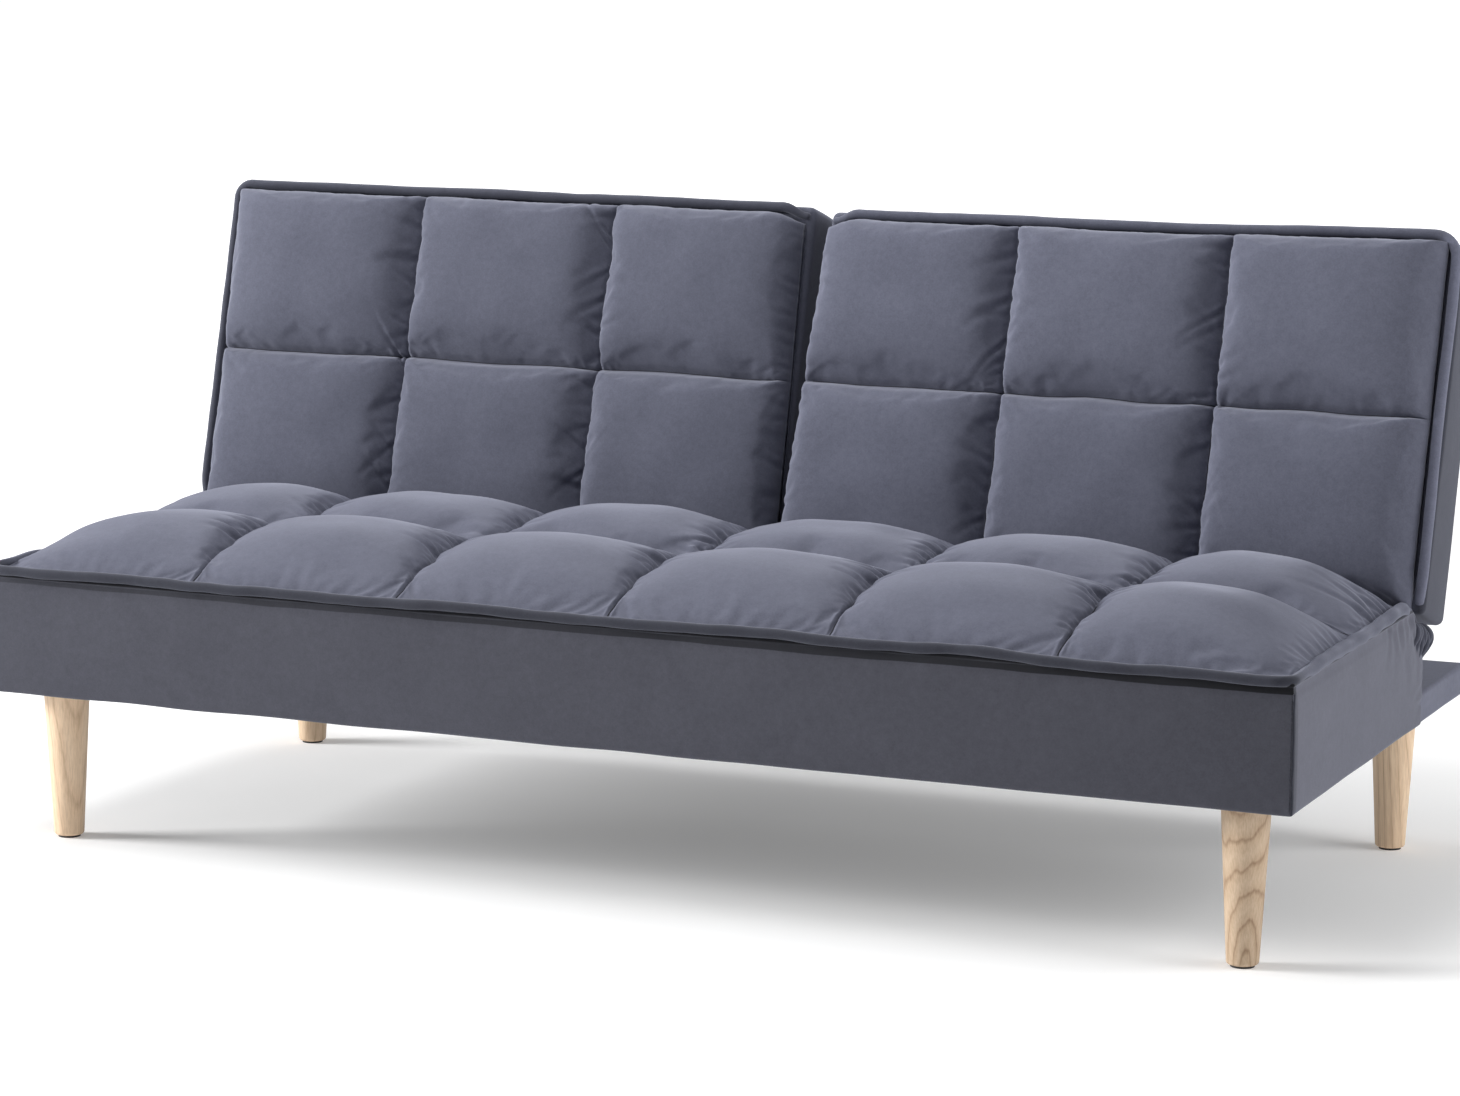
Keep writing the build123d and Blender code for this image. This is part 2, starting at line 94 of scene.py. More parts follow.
# ------------------------------------------------------------------ meshes
def new_object(name, verts, faces, mat, smooth_shade=True):
    me = bpy.data.meshes.new(name)
    me.from_pydata(np.asarray(verts, float).tolist(), [], [list(map(int, f)) for f in faces])
    me.update()
    ob = bpy.data.objects.new(name, me)
    SCENE.collection.objects.link(ob)
    if mat is not None:
        me.materials.append(mat)
    me.polygons.foreach_set("use_smooth", np.full(len(me.polygons), smooth_shade))
    me.update()
    return ob


def coords(ob):
    co = np.zeros(len(ob.data.vertices) * 3)
    ob.data.vertices.foreach_get("co", co)
    return co.reshape(-1, 3)


def set_coords(ob, co):
    ob.data.vertices.foreach_set("co", np.asarray(co, float).ravel())
    ob.data.update()


def normals(ob):
    n = np.zeros(len(ob.data.vertices) * 3)
    ob.data.vertices.foreach_get("normal", n)
    return n.reshape(-1, 3)


def apply_modifiers(ob):
    dg = bpy.context.evaluated_depsgraph_get()
    me = bpy.data.meshes.new_from_object(ob.evaluated_get(dg), depsgraph=dg)
    old = ob.data
    ob.modifiers.clear()
    ob.data = me
    bpy.data.meshes.remove(old)
    me.polygons.foreach_set("use_smooth", np.full(len(me.polygons), True))
    me.update()
    return ob


def subdivide(ob, levels=1):
    m = ob.modifiers.new("subdivision", "SUBSURF")
    m.levels = m.render_levels = levels
    m.boundary_smooth = "PRESERVE_CORNERS"
    return apply_modifiers(ob)


def solidify(ob, t):
    m = ob.modifiers.new("thickness", "SOLIDIFY")
    m.thickness = t
    m.offset = -1.0
    return apply_modifiers(ob)


def grid_faces(nu, nv):
    i, j = np.meshgrid(np.arange(nu - 1), np.arange(nv - 1), indexing="ij")
    a = (i * nv + j).ravel()
    return np.stack([a, a + nv, a + nv + 1, a + 1], 1)


def stations(stops, counts, k=0.55):
    """Grid lines through every stop, closer together near the stops."""
    out = [stops[0]]
    for a, b, n in zip(stops[:-1], stops[1:], counts):
        t = np.arange(1, n + 1) / n
        out += list(a + (b - a) * (t - k * np.sin(2 * math.pi * t) / (2 * math.pi)))
    return np.array(out)


def rise(d, length, p=2.2, q=0.62):
    """0 at an edge, steep at first, level at length."""
    t = np.clip(np.asarray(d, float) / length, 0, 1)
    return (1 - (1 - t) ** p) ** q


def cell(t, p=2.4, q=0.66):
    """Quilt cell profile, 1 in the middle and 0 at the seams (t from -1 to 1)."""
    return np.clip(1 - np.abs(np.clip(t, -1, 1)) ** p, 0, 1) ** q


def cell_coord(x, stops):
    """Position in its cell from -1 to 1, the cell's number and the distance to the nearer seam."""
    i = np.clip(np.searchsorted(stops, x, side="right") - 1, 0, len(stops) - 2)
    a, b = np.asarray(stops)[i], np.asarray(stops)[i + 1]
    return (x - a) / (b - a) * 2 - 1, i, np.minimum(x - a, b - x)


def simulate(ob, pins, pressure, slack, frames=20, cap=0.022, stiff=12.0, bend=0.25):
    """Blow the panel out between its pinned seams, then keep each point within cap."""
    start = coords(ob)
    group = ob.vertex_groups.new(name="pin")
    for i in np.nonzero(pins > 0)[0]:
        group.add([int(i)], float(pins[i]), "REPLACE")
    m = ob.modifiers.new("cloth", "CLOTH")
    s = m.settings
    s.quality = 4
    s.mass = 0.18
    s.tension_stiffness = stiff
    s.compression_stiffness = stiff
    s.shear_stiffness = stiff * 0.45
    s.bending_stiffness = bend
    s.tension_damping = s.compression_damping = s.shear_damping = 8.0
    s.bending_damping = 0.6
    s.air_damping = 2.0
    s.use_pressure = True
    s.uniform_pressure_force = pressure
    s.shrink_min = -slack
    s.vertex_group_mass = "pin"
    s.pin_stiffness = 1.0
    s.effector_weights.gravity = 0.0
    m.collision_settings.use_collision = False
    m.collision_settings.use_self_collision = False
    m.point_cache.frame_start = 1
    m.point_cache.frame_end = frames
    for f in range(1, frames + 1):
        SCENE.frame_set(f)
    dg = bpy.context.evaluated_depsgraph_get()
    ev = ob.evaluated_get(dg).to_mesh()
    end = np.zeros(len(ev.vertices) * 3)
    ev.vertices.foreach_get("co", end)
    end = end.reshape(-1, 3)
    ob.evaluated_get(dg).to_mesh_clear()
    ob.modifiers.clear()
    SCENE.frame_set(1)
    ob.vertex_groups.clear()
    d = end - start
    if not np.isfinite(d).all():
        return ob
    r = np.linalg.norm(d, axis=1, keepdims=True)
    d = d * (cap * np.tanh(r / cap) / np.maximum(r, 1e-9))
    set_coords(ob, start + d)
    print("cloth", ob.name, "mean move mm", round(float(r.mean() * 1000), 2), "max", round(float(r.max() * 1000), 2))
    return ob


def add_skirt(ob, loop, rings):
    """Carry the panel's edge round further rings of points."""
    co = coords(ob)
    faces = [list(p.vertices) for p in ob.data.polygons]
    verts = [co]
    prev = list(loop)
    base = len(co)
    n = len(loop)
    for ring in rings:
        idx = list(range(base, base + n))
        verts.append(np.asarray(ring))
        for a in range(n):
            b = (a + 1) % n
            faces.append([prev[b], prev[a], idx[a], idx[b]])
        prev = idx
        base += n
    me = ob.data
    me.clear_geometry()
    me.from_pydata(np.vstack(verts).tolist(), [], faces)
    me.polygons.foreach_set("use_smooth", np.full(len(me.polygons), True))
    me.update()


def cap_opening(ob):
    """Close the one open edge loop of a mesh with a single flat face."""
    me = ob.data
    count = {}
    faces = [list(p.vertices) for p in me.polygons]
    for f in faces:
        for a, b in zip(f, f[1:] + f[:1]):
            count[(a, b)] = count.get((a, b), 0) + 1
    step = {b: a for (a, b) in count if (b, a) not in count}
    start = next(iter(step))
    loop, at = [start], step[start]
    while at != start:
        loop.append(at)
        at = step[at]
    co = coords(ob)
    me.clear_geometry()
    me.from_pydata(co.tolist(), [], faces + [loop])
    me.polygons.foreach_set("use_smooth", np.full(len(me.polygons), True))
    me.update()


def crease_edges(ob, mark, value=0.9):
    """Keep the edges between marked vertices sharp when the mesh is subdivided."""
    me = ob.data
    e = np.zeros(len(me.edges) * 2, int)
    me.edges.foreach_get("vertices", e)
    e = e.reshape(-1, 2)
    keep = np.zeros(len(me.vertices), bool)
    keep[: len(mark)] = mark
    at = me.attributes.new("crease_edge", "FLOAT", "EDGE")
    at.data.foreach_set("value", np.where(keep[e[:, 0]] & keep[e[:, 1]], value, 0.0).astype(np.float32))


def axis_lattice(lo, hi, r, step, fine=4):
    n = max(2, int(round((hi - lo - 2 * r) / step)))
    return np.concatenate([
        np.linspace(lo, lo + r, fine + 1)[:-1], np.linspace(lo + r, hi - r, n + 1), np.linspace(hi - r, hi, fine + 1)[1:],
    ])


def rounded_box(lo, hi, r, step, keep=None):
    """Surface of a box with rounded edges: points, quads and outward normals."""
    lat = [axis_lattice(lo[a], hi[a], r, step[a]) for a in range(3)]
    n = [len(x) for x in lat]
    quads, ids = [], []
    for axis in range(3):
        b, c = (axis + 1) % 3, (axis + 2) % 3
        for end in (0, n[axis] - 1):
            i, j = np.meshgrid(np.arange(n[b] - 1), np.arange(n[c] - 1), indexing="ij")
            i, j = i.ravel(), j.ravel()
            corner = []
            for di, dj in ((0, 0), (1, 0), (1, 1), (0, 1)):
                k = [None] * 3
                k[axis], k[b], k[c] = np.full_like(i, end), i + di, j + dj
                corner.append(k[0] * n[1] * n[2] + k[1] * n[2] + k[2])
            q = np.stack(corner, 1)
            quads.append(q if end else q[:, ::-1])
    quads = np.vstack(quads)
    used, inverse = np.unique(quads, return_inverse=True)
    quads = inverse.reshape(quads.shape)
    k = np.stack([used // (n[1] * n[2]), used // n[2] % n[1], used % n[2]], 1)
    p = np.stack([lat[a][k[:, a]] for a in range(3)], 1)
    c = np.clip(p, np.array(lo) + r, np.array(hi) - r)
    d = p - c
    nrm = d / np.maximum(np.linalg.norm(d, axis=1, keepdims=True), 1e-12)
    pts = c + nrm * r
    if keep is not None:
        quads = quads[keep(pts[quads].mean(1), nrm[quads].mean(1))]
        used, inverse = np.unique(quads, return_inverse=True)
        quads = inverse.reshape(quads.shape)
        pts, nrm = pts[used], nrm[used]
    return pts, quads, nrm


def tube_mesh(path, radius, seg=16, squash_z=1.0):
    """Closed tube along points, with rounded ends; radius may vary."""
    path = np.asarray(path, float)
    radius = np.broadcast_to(radius, len(path)).astype(float)
    tan = np.gradient(path, axis=0)
    tan /= np.linalg.norm(tan, axis=1, keepdims=True)
    ref = np.array([0.0, 0.0, 1.0])
    if abs(tan[0] @ ref) > 0.9:
        ref = np.array([1.0, 0.0, 0.0])
    u = ref - tan[0] * (tan[0] @ ref)
    u /= np.linalg.norm(u)
    us = []
    for t in tan:
        u = u - t * (t @ u)
        u /= np.linalg.norm(u)
        us.append(u)
    us = np.array(us)
    vs = np.cross(tan, us)
    ang = np.arange(seg) * 2 * math.pi / seg
    rings = []
    for a, b in ((-0.75, 0.35), (-0.6, 0.7), (-0.3, 0.93)):
        rings.append(path[0] + tan[0] * radius[0] * a + (np.cos(ang)[:, None] * us[0] * squash_z + np.sin(ang)[:, None] * vs[0]) * radius[0] * b)
    for p, uu, vv, r in zip(path, us, vs, radius):
        rings.append(p + (np.cos(ang)[:, None] * uu * squash_z + np.sin(ang)[:, None] * vv) * r)
    for a, b in ((0.3, 0.93), (0.6, 0.7), (0.75, 0.35)):
        rings.append(path[-1] + tan[-1] * radius[-1] * a + (np.cos(ang)[:, None] * us[-1] * squash_z + np.sin(ang)[:, None] * vs[-1]) * radius[-1] * b)
    m = len(rings)
    verts = np.vstack(rings)
    faces = []
    for i in range(m - 1):
        for k in range(seg):
            a, b = i * seg + k, i * seg + (k + 1) % seg
            faces.append([a, b, b + seg, a + seg])
    faces.append(list(range(seg))[::-1])
    faces.append([(m - 1) * seg + k for k in range(seg)])
    return verts, faces


def tube(name, path, radius, mat, seg=16, squash_z=1.0):
    return new_object(name, *tube_mesh(path, radius, seg, squash_z), mat)


def cords(name, paths, radius, mat, seg=6):
    """Several thin tubes in one mesh."""
    verts, faces, base = [], [], 0
    for path in paths:
        v, f = tube_mesh(path, radius, seg)
        verts.append(v)
        faces += [[base + k for k in face] for face in f]
        base += len(v)
    return new_object(name, np.vstack(verts), faces, mat)


def resample(pts, step):
    pts = np.asarray(pts, float)
    s = np.concatenate([[0], np.cumsum(np.linalg.norm(np.diff(pts, axis=0), axis=1))])
    t = np.linspace(0, s[-1], int(s[-1] / step) + 2)
    return np.stack([np.interp(t, s, pts[:, a]) for a in range(pts.shape[1])], 1), t


def corner_arc(a, b, c, r, n=10):
    """Points round the corner b of the path a, b, c."""
    a, b, c = (np.asarray(v, float) for v in (a, b, c))
    p = b + (a - b) / np.linalg.norm(a - b) * r
    q = b + (c - b) / np.linalg.norm(c - b) * r
    t = np.linspace(0, 1, n)[:, None]
    o = p + q - b
    ang = t * math.pi / 2
    return o + (p - o) * np.cos(ang) + (q - o) * np.sin(ang)


# --------------------------------------------------------------- materials
class Nodes:
    def __init__(self, name):
        self.mat = bpy.data.materials.new(name)
        self.mat.use_nodes = True
        self.t = self.mat.node_tree
        self.t.nodes.clear()
        self.out = self.t.nodes.new("ShaderNodeOutputMaterial")
        self.bsdf = self.t.nodes.new("ShaderNodeBsdfPrincipled")
        self.t.links.new(self.bsdf.outputs[0], self.out.inputs[0])
        self.coord = self.t.nodes.new("ShaderNodeTexCoord").outputs["Object"]

    def link(self, a, b):
        self.t.links.new(a, b)

    def mapping(self, loc=(0, 0, 0), rot=(0, 0, 0), scale=(1, 1, 1)):
        m = self.t.nodes.new("ShaderNodeMapping")
        m.inputs["Location"].default_value = loc
        m.inputs["Rotation"].default_value = rot
        m.inputs["Scale"].default_value = scale
        self.link(self.coord, m.inputs["Vector"])
        return m.outputs[0]

    def noise(self, scale, detail=3.0, rough=0.55, vector=None, distortion=0.0):
        n = self.t.nodes.new("ShaderNodeTexNoise")
        n.inputs["Scale"].default_value = scale
        n.inputs["Detail"].default_value = detail
        n.inputs["Roughness"].default_value = rough
        n.inputs["Distortion"].default_value = distortion
        self.link(vector or self.coord, n.inputs["Vector"])
        return n.outputs["Fac"]

    def ramp(self, fac, stops):
        r = self.t.nodes.new("ShaderNodeValToRGB")
        while len(r.color_ramp.elements) < len(stops):
            r.color_ramp.elements.new(0.5)
        for e, (pos, col) in zip(r.color_ramp.elements, stops):
            e.position = pos
            e.color = (*col, 1) if len(col) == 3 else col
        self.link(fac, r.inputs[0])
        return r.outputs[0]

    def mix(self, fac, a, b, mode="MIX"):
        m = self.t.nodes.new("ShaderNodeMix")
        m.data_type = "RGBA"
        m.blend_type = mode
        for key, v in ((0, fac), (6, a), (7, b)):
            if isinstance(v, (int, float)):
                m.inputs[key].default_value = v
            elif isinstance(v, tuple):
                m.inputs[key].default_value = (*v, 1)
            else:
                self.link(v, m.inputs[key])
        return m.outputs[2]

    def math(self, op, a, b=None):
        m = self.t.nodes.new("ShaderNodeMath")
        m.operation = op
        for k, v in enumerate((a, b)):
            if v is None:
                continue
            if isinstance(v, (int, float)):
                m.inputs[k].default_value = v
            else:
                self.link(v, m.inputs[k])
        return m.outputs[0]

    def bump(self, height, strength, distance, normal=None):
        b = self.t.nodes.new("ShaderNodeBump")
        b.inputs["Strength"].default_value = strength
        b.inputs["Distance"].default_value = distance
        self.link(height, b.inputs["Height"])
        if normal is not None:
            self.link(normal, b.inputs["Normal"])
        return b.outputs[0]

    def set(self, **kw):
        for k, v in kw.items():
            s = self.bsdf.inputs[k.replace("_", " ")]
            if hasattr(v, "is_output"):
                self.link(v, s)
            elif isinstance(v, tuple):
                s.default_value = (*v, 1) if len(v) == 3 else v
            else:
                s.default_value = v
        return self.mat


def lin(r, g, b):
    f = lambda c: c / 12.92 if c <= 0.04045 else ((c + 0.055) / 1.055) ** 2.4
    return tuple(f(x / 255) for x in (r, g, b))


def scaled(c, k):
    return tuple(min(1.0, x * k) for x in c)


VELVET_BASE = lin(86, 88, 102)


def velvet(name, tone=1.0, seed=0.0, tint=(1.0, 1.0, 1.0), shade=(), piping_shadow=None):
    n = Nodes(name)
    c = tuple(a * b for a, b in zip(scaled(VELVET_BASE, tone), tint))
    shifted = n.mapping(loc=(seed * 1.7, seed * 0.9, seed * 1.3))
    broad = n.noise(3.2, 2.0, 0.5, shifted)
    patch = n.noise(15.0, 4.0, 0.62, shifted, 0.8)
    mottle = n.noise(110.0, 3.0, 0.65, shifted)
    grain = n.noise(420.0, 3.0, 0.7, shifted)
    fleck = n.noise(1500.0, 1.0, 0.5, shifted)
    col = n.ramp(broad, [(0.30, scaled(c, 0.92)), (0.70, scaled(c, 1.08))])
    col = n.mix(0.58, col, n.ramp(patch, [(0.32, scaled(c, 0.86)), (0.68, scaled(c, 1.12))]))
    col = n.mix(0.40, col, n.ramp(mottle, [(0.30, scaled(c, 0.76)), (0.70, scaled(c, 1.22))]))
    col = n.mix(0.22, col, n.ramp(grain, [(0.32, scaled(c, 0.62)), (0.68, scaled(c, 1.38))]))
    split = n.t.nodes.new("ShaderNodeSeparateXYZ")
    n.link(n.coord, split.inputs[0])
    for axis, v0, v1, k in shade:
        # painted shade: beyond v1 the colour is multiplied by k, darkening that face as if less light reached it
        place = n.math("ABSOLUTE", split.outputs["X"]) if axis == "X" else split.outputs[axis]
        there = n.math("MULTIPLY", n.math("SUBTRACT", place, v0), 1 / (v1 - v0))
        col = n.mix(1.0, col, n.ramp(there, [(0.0, (1, 1, 1)), (1.0, (k, k, k))]), "MULTIPLY")
    if piping_shadow is not None:
        # painted shadow under the front piping: a dark strip with a wavy lower edge, deeper towards the right
        z0, y0, left, right = piping_shadow
        wavy = n.math("MULTIPLY", n.math("SUBTRACT", n.noise(5.0, 2.0, 0.5, n.mapping(scale=(1, 0, 0))), 0.5), 0.007)
        share = n.math("MULTIPLY", n.math("ADD", split.outputs["X"], 0.9), 1 / 1.8)
        start = n.math("SUBTRACT", z0 + 0.0038, n.math("MULTIPLY", share, 0.0038))
        above = n.math("MULTIPLY", n.math("SUBTRACT", n.math("ADD", split.outputs["Z"], wavy), start), 1 / 0.0010)
        ahead = n.math("MULTIPLY", n.math("SUBTRACT", y0, split.outputs["Y"]), 1 / 0.004)
        for m in (above, ahead, share):
            m.node.use_clamp = True
        deep = n.math("ADD", n.math("MULTIPLY", share, left - right), 1 - left)
        dark = n.math("MULTIPLY", n.math("MULTIPLY", above, ahead), deep)
        # painted shadow: a darker line in the gap right under the piping
        gap = n.math("MULTIPLY", n.math("SUBTRACT", split.outputs["Z"], 0.3596), 1 / 0.0012)
        gap.node.use_clamp = True
        dark = n.math("MAXIMUM", dark, n.math("MULTIPLY", gap, 0.88))
        # painted shade: the front face darkens towards the right, as if the light fell off there
        rightward_shade = n.math("MULTIPLY", n.math("MULTIPLY", n.math("MULTIPLY", share, share), ahead), 0.21)
        dark = n.math("MAXIMUM", dark, rightward_shade)
        col = n.mix(1.0, col, n.ramp(dark, [(0.0, (1, 1, 1)), (1.0, (0, 0, 0))]), "MULTIPLY")
    rough = n.ramp(patch, [(0.3, (0.95, 0.95, 0.95)), (0.7, (0.84, 0.84, 0.84))])
    h = n.math("ADD", n.math("MULTIPLY", grain, 0.7), n.math("MULTIPLY", fleck, 0.3))
    soft = n.bump(n.math("ADD", n.math("MULTIPLY", patch, 0.8), n.math("MULTIPLY", mottle, 0.2)), 0.12, 0.004)
    nrm = n.bump(h, 0.20, 0.0006, soft)
    m = n.set(Base_Color=col, Roughness=rough, Normal=nrm)
    n.bsdf.inputs["Specular IOR Level"].default_value = 0.15
    n.bsdf.inputs["Sheen Weight"].default_value = 0.32
    n.bsdf.inputs["Sheen Roughness"].default_value = 0.50
    n.bsdf.inputs["Sheen Tint"].default_value = (0.82, 0.85, 1.0, 1)
    return m


def leg_wood(name, centre, offset, tilt, spin, rings, figure, tone):
    """Pale timber whose growth rings run up the leg, cut at a slant."""
    n = Nodes(name)
    place = n.mapping(loc=tuple(-c for c in centre))
    m = n.t.nodes.new("ShaderNodeMapping")
    m.inputs["Location"].default_value = offset
    m.inputs["Rotation"].default_value = (tilt[0], tilt[1], spin)
    m.inputs["Scale"].default_value = (1, 1, 1)
    n.link(place, m.inputs["Vector"])
    v = m.outputs[0]
    w = n.t.nodes.new("ShaderNodeTexWave")
    w.wave_type = "RINGS"
    w.rings_direction = "Z"
    w.wave_profile = "SAW"
    w.inputs["Scale"].default_value = rings
    w.inputs["Distortion"].default_value = 2.2
    w.inputs["Detail"].default_value = 2.5
    w.inputs["Detail Scale"].default_value = 1.3
    w.inputs["Detail Roughness"].default_value = 0.55
    squash = n.t.nodes.new("ShaderNodeMapping")
    squash.inputs["Scale"].default_value = (1, 1, 0.22)
    n.link(v, squash.inputs["Vector"])
    n.link(squash.outputs[0], w.inputs["Vector"])
    grain = w.outputs["Fac"]
    pores = n.t.nodes.new("ShaderNodeMapping")
    pores.inputs["Scale"].default_value = (620, 620, 22)
    n.link(v, pores.inputs["Vector"])
    fine = n.noise(1.0, 3.0, 0.6, pores.outputs[0])
    streak = n.t.nodes.new("ShaderNodeMapping")
    streak.inputs["Scale"].default_value = (90, 90, 6)
    n.link(v, streak.inputs["Vector"])
    band = n.noise(1.0, 3.0, 0.55, streak.outputs[0])
    warm = tuple(t * k for t, k in zip((tone,) * 3, (1.0, 0.985, 0.94)))
    pale, mid, dark = (tuple(min(0.95, c * k) for c, k in zip(lin(*rgb), warm)) for rgb in ((208, 186, 163), (193, 168, 143), (146, 117, 92)))
    col = n.ramp(grain, [(0.0, dark), (0.09, mid), (0.45, pale), (0.86, mid), (1.0, dark)])
    col = n.mix(1.0 - figure, col, n.ramp(band, [(0.30, mid), (0.72, pale)]))
    col = n.mix(0.24, col, n.ramp(fine, [(0.36, scaled(dark, 0.9)), (0.60, pale)]))
    rough = n.ramp(fine, [(0.3, (0.62, 0.62, 0.62)), (0.7, (0.48, 0.48, 0.48))])
    h = n.math("ADD", n.math("MULTIPLY", fine, 0.7), n.math("MULTIPLY", grain, 0.3))
    mat = n.set(Base_Color=col, Roughness=rough, Normal=n.bump(h, 0.25, 0.0004))
    n.bsdf.inputs["Specular IOR Level"].default_value = 0.35
    return mat


def frame_timber():
    n = Nodes("frame_timber")
    v = n.mapping(scale=(3, 40, 60))
    band = n.noise(1.0, 4.0, 0.6, v)
    fine = n.noise(1.0, 2.0, 0.6, n.mapping(scale=(20, 500, 500)))
    a, b = lin(205, 172, 128), lin(170, 132, 90)
    col = n.mix(0.4, n.ramp(band, [(0.3, b), (0.7, a)]), n.ramp(fine, [(0.35, b), (0.65, a)]))
    return n.set(Base_Color=col, Roughness=0.75, Normal=n.bump(fine, 0.2, 0.0004))


def steel(name, c, rough, metal):
    n = Nodes(name)
    s = n.noise(60.0, 4.0, 0.6)
    f = n.noise(900.0, 2.0, 0.6)
    col = n.ramp(s, [(0.3, scaled(c, 0.88)), (0.7, scaled(c, 1.08))])
    r = n.ramp(s, [(0.3, (rough * 0.85,) * 3), (0.7, (rough * 1.15,) * 3)])
    m = n.set(Base_Color=col, Roughness=r, Normal=n.bump(f, 0.08, 0.0002))
    n.bsdf.inputs["Metallic"].default_value = metal
    return m


def cloth_plain(name, c, scale=700.0):
    n = Nodes(name)
    g = n.noise(scale, 3.0, 0.7)
    p = n.noise(30.0, 3.0, 0.6)
    col = n.mix(0.5, n.ramp(g, [(0.3, scaled(c, 0.6)), (0.7, scaled(c, 1.4))]), n.ramp(p, [(0.3, scaled(c, 0.85)), (0.7, scaled(c, 1.15))]))
    return n.set(Base_Color=col, Roughness=0.95, Normal=n.bump(g, 0.3, 0.0006))


def foam_material():
    n = Nodes("foam")
    g = n.noise(420.0, 3.0, 0.7)
    c = lin(232, 224, 196)
    col = n.ramp(g, [(0.3, scaled(c, 0.8)), (0.6, c)])
    return n.set(Base_Color=col, Roughness=0.95, Normal=n.bump(g, 0.4, 0.001))


def plastic():
    n = Nodes("glide_plastic")
    g = n.noise(500.0, 2.0, 0.6)
    c = lin(40, 40, 42)
    return n.set(Base_Color=n.ramp(g, [(0.3, scaled(c, 0.8)), (0.7, scaled(c, 1.2))]), Roughness=0.6, Normal=n.bump(g, 0.15, 0.0003))


VELVET = velvet("velvet", 1.0, 0.0)
# painted light: the right back's cover is a lighter copy (1.08) of the left back's (0.95)
BACK_VELVET = {"left": velvet("velvet_left_back", 0.95, 1.0), "right": velvet("velvet_right_back", 1.08, 2.0)}
# painted light: the left back's piping is a dark copy (0.50) and the right back's a lit copy (1.50), with its top run
# painted down to 0.57
PIPE_VELVET = {
    "left": velvet("velvet_left_piping", 0.50, 3.0),
    "right": velvet("velvet_right_piping", 1.50, 4.0, shade=[("X", 0.893, 0.878, 0.57)]),
}
# painted shade: the front run of the seat piping is darkened to 0.34 while its side runs stay lit
SEAT_PIPE = velvet("velvet_seat_piping", 0.92, 5.0, shade=[("Y", -0.360, -0.400, 0.34)])
# painted shade: the outer end faces of both back bands are darkened to 0.44
BAND_VELVET = velvet("velvet_band", 0.85, 7.0, shade=[("X", 0.890, 0.897, 0.44)])
DECK_VELVET = velvet("velvet_deck", 1.20, 8.0)
# painted shade: the border's front face is darkened to 0.66 of its lit sides and carries the painted shadow under the
# piping
BORDER_VELVET = velvet("velvet_border", 0.97, 9.0, (1.03, 1.0, 0.93), [("Y", -0.3985, -0.4025, 0.66)], (0.3486, -0.3985, 0.56, 0.08))
SEAM_THREAD = cloth_plain("seam_thread", lin(52, 53, 63), 2400.0)
GATHER_VELVET = velvet("velvet_gathers", 0.62, 14.0)
# dark cord colour for the seam valleys: a sewn seam line, darkened to stand for the painted crease shadow there
SEAM_SHADOW = cloth_plain("seam_crease_shadow", lin(34, 35, 43), 2400.0)
TIMBER = frame_timber()
BLACK_STEEL = steel("black_steel", lin(40, 41, 44), 0.42, 0.3)
ZINC = steel("zinc_steel", lin(178, 180, 182), 0.34, 1.0)
DUST = cloth_plain("dust_cloth", lin(34, 34, 37), 500.0)
FELT = cloth_plain("felt", lin(124, 122, 118), 400.0)
FOAM = foam_material()
PLASTIC = plastic()

BY_SLOT = {
    "velvet": VELVET, "frame_wood": TIMBER, "black_steel": BLACK_STEEL, "zinc_steel": ZINC,
    "foam": FOAM, "felt": FELT, "dust_cloth": DUST, "glide_plastic": PLASTIC,
}
SLOT_OF = {p["node"]: p["material_slot"] for p in frame["record"]["subparts"]}
for node, ob in NODES.items():
    if SLOT_OF[node] in BY_SLOT:
        ob.data.materials.clear()
        ob.data.materials.append(BY_SLOT[SLOT_OF[node]])

# painted light: the last number per leg scales its wood lighter or darker (0.98 to 1.52) to stand for how much light
# that leg catches
LEGS = {
    "leg_front_right": ((0.825, 0.062 - YM, 0.1), (-0.004, 0.002, 0.0), (0.133, 0.034), 0.0, 46.0, 0.88, 0.98),
    "leg_front_left": ((-0.825, 0.062 - YM, 0.1), (0.16, 0.05, 0.0), (0.03, 0.02), 0.9, 30.0, 0.50, 1.38),
    "leg_rear_left": ((-0.825, 0.743 - YM, 0.1), (0.14, -0.05, 0.0), (0.04, -0.03), 2.1, 28.0, 0.50, 1.15),
    "leg_rear_right": ((0.825, 0.743 - YM, 0.1), (0.02, 0.15, 0.0), (-0.03, 0.04), 1.4, 34.0, 0.55, 1.52),
}
for node, spec in LEGS.items():
    ob = NODES[node]
    ob.data.materials.clear()
    ob.data.materials.append(leg_wood("wood_" + node, *spec))


# ------------------------------------------------------------------ pleats
def pleats(d, along, spots, seed, depth, reach, width=0.0055, slant=0.25):
    """Short folds that run out from a seam: d from the seam, along it."""
    rng = np.random.default_rng(seed)
    out = np.zeros(len(d))
    for c in spots:
        c = c + rng.normal(0, 0.003)
        length = reach * rng.uniform(0.6, 1.3)
        h = depth * rng.uniform(0.45, 1.25)
        m = rng.normal(0, slant)
        wd = width * rng.uniform(0.8, 1.3)
        near = (d >= 0) & (d < length)
        if not near.any():
            continue
        t = d[near] / length
        env = (1 - t) ** 1.3 * (1 - np.exp(-((d[near] / 0.004) ** 2)))
        u = (along[near] - c - m * d[near]) / (wd * (0.7 + 0.9 * t))
        out[near] += h * env * (0.55 * np.exp(-(((u - 1.7) / 1.2) ** 2)) - np.exp(-u * u))
    return out


def spread(a, b, step, seed):
    n = max(1, int(abs(b - a) / step))
    rng = np.random.default_rng(seed)
    return a + (np.arange(n) + 0.5 + rng.uniform(-0.3, 0.3, n)) * (b - a) / n


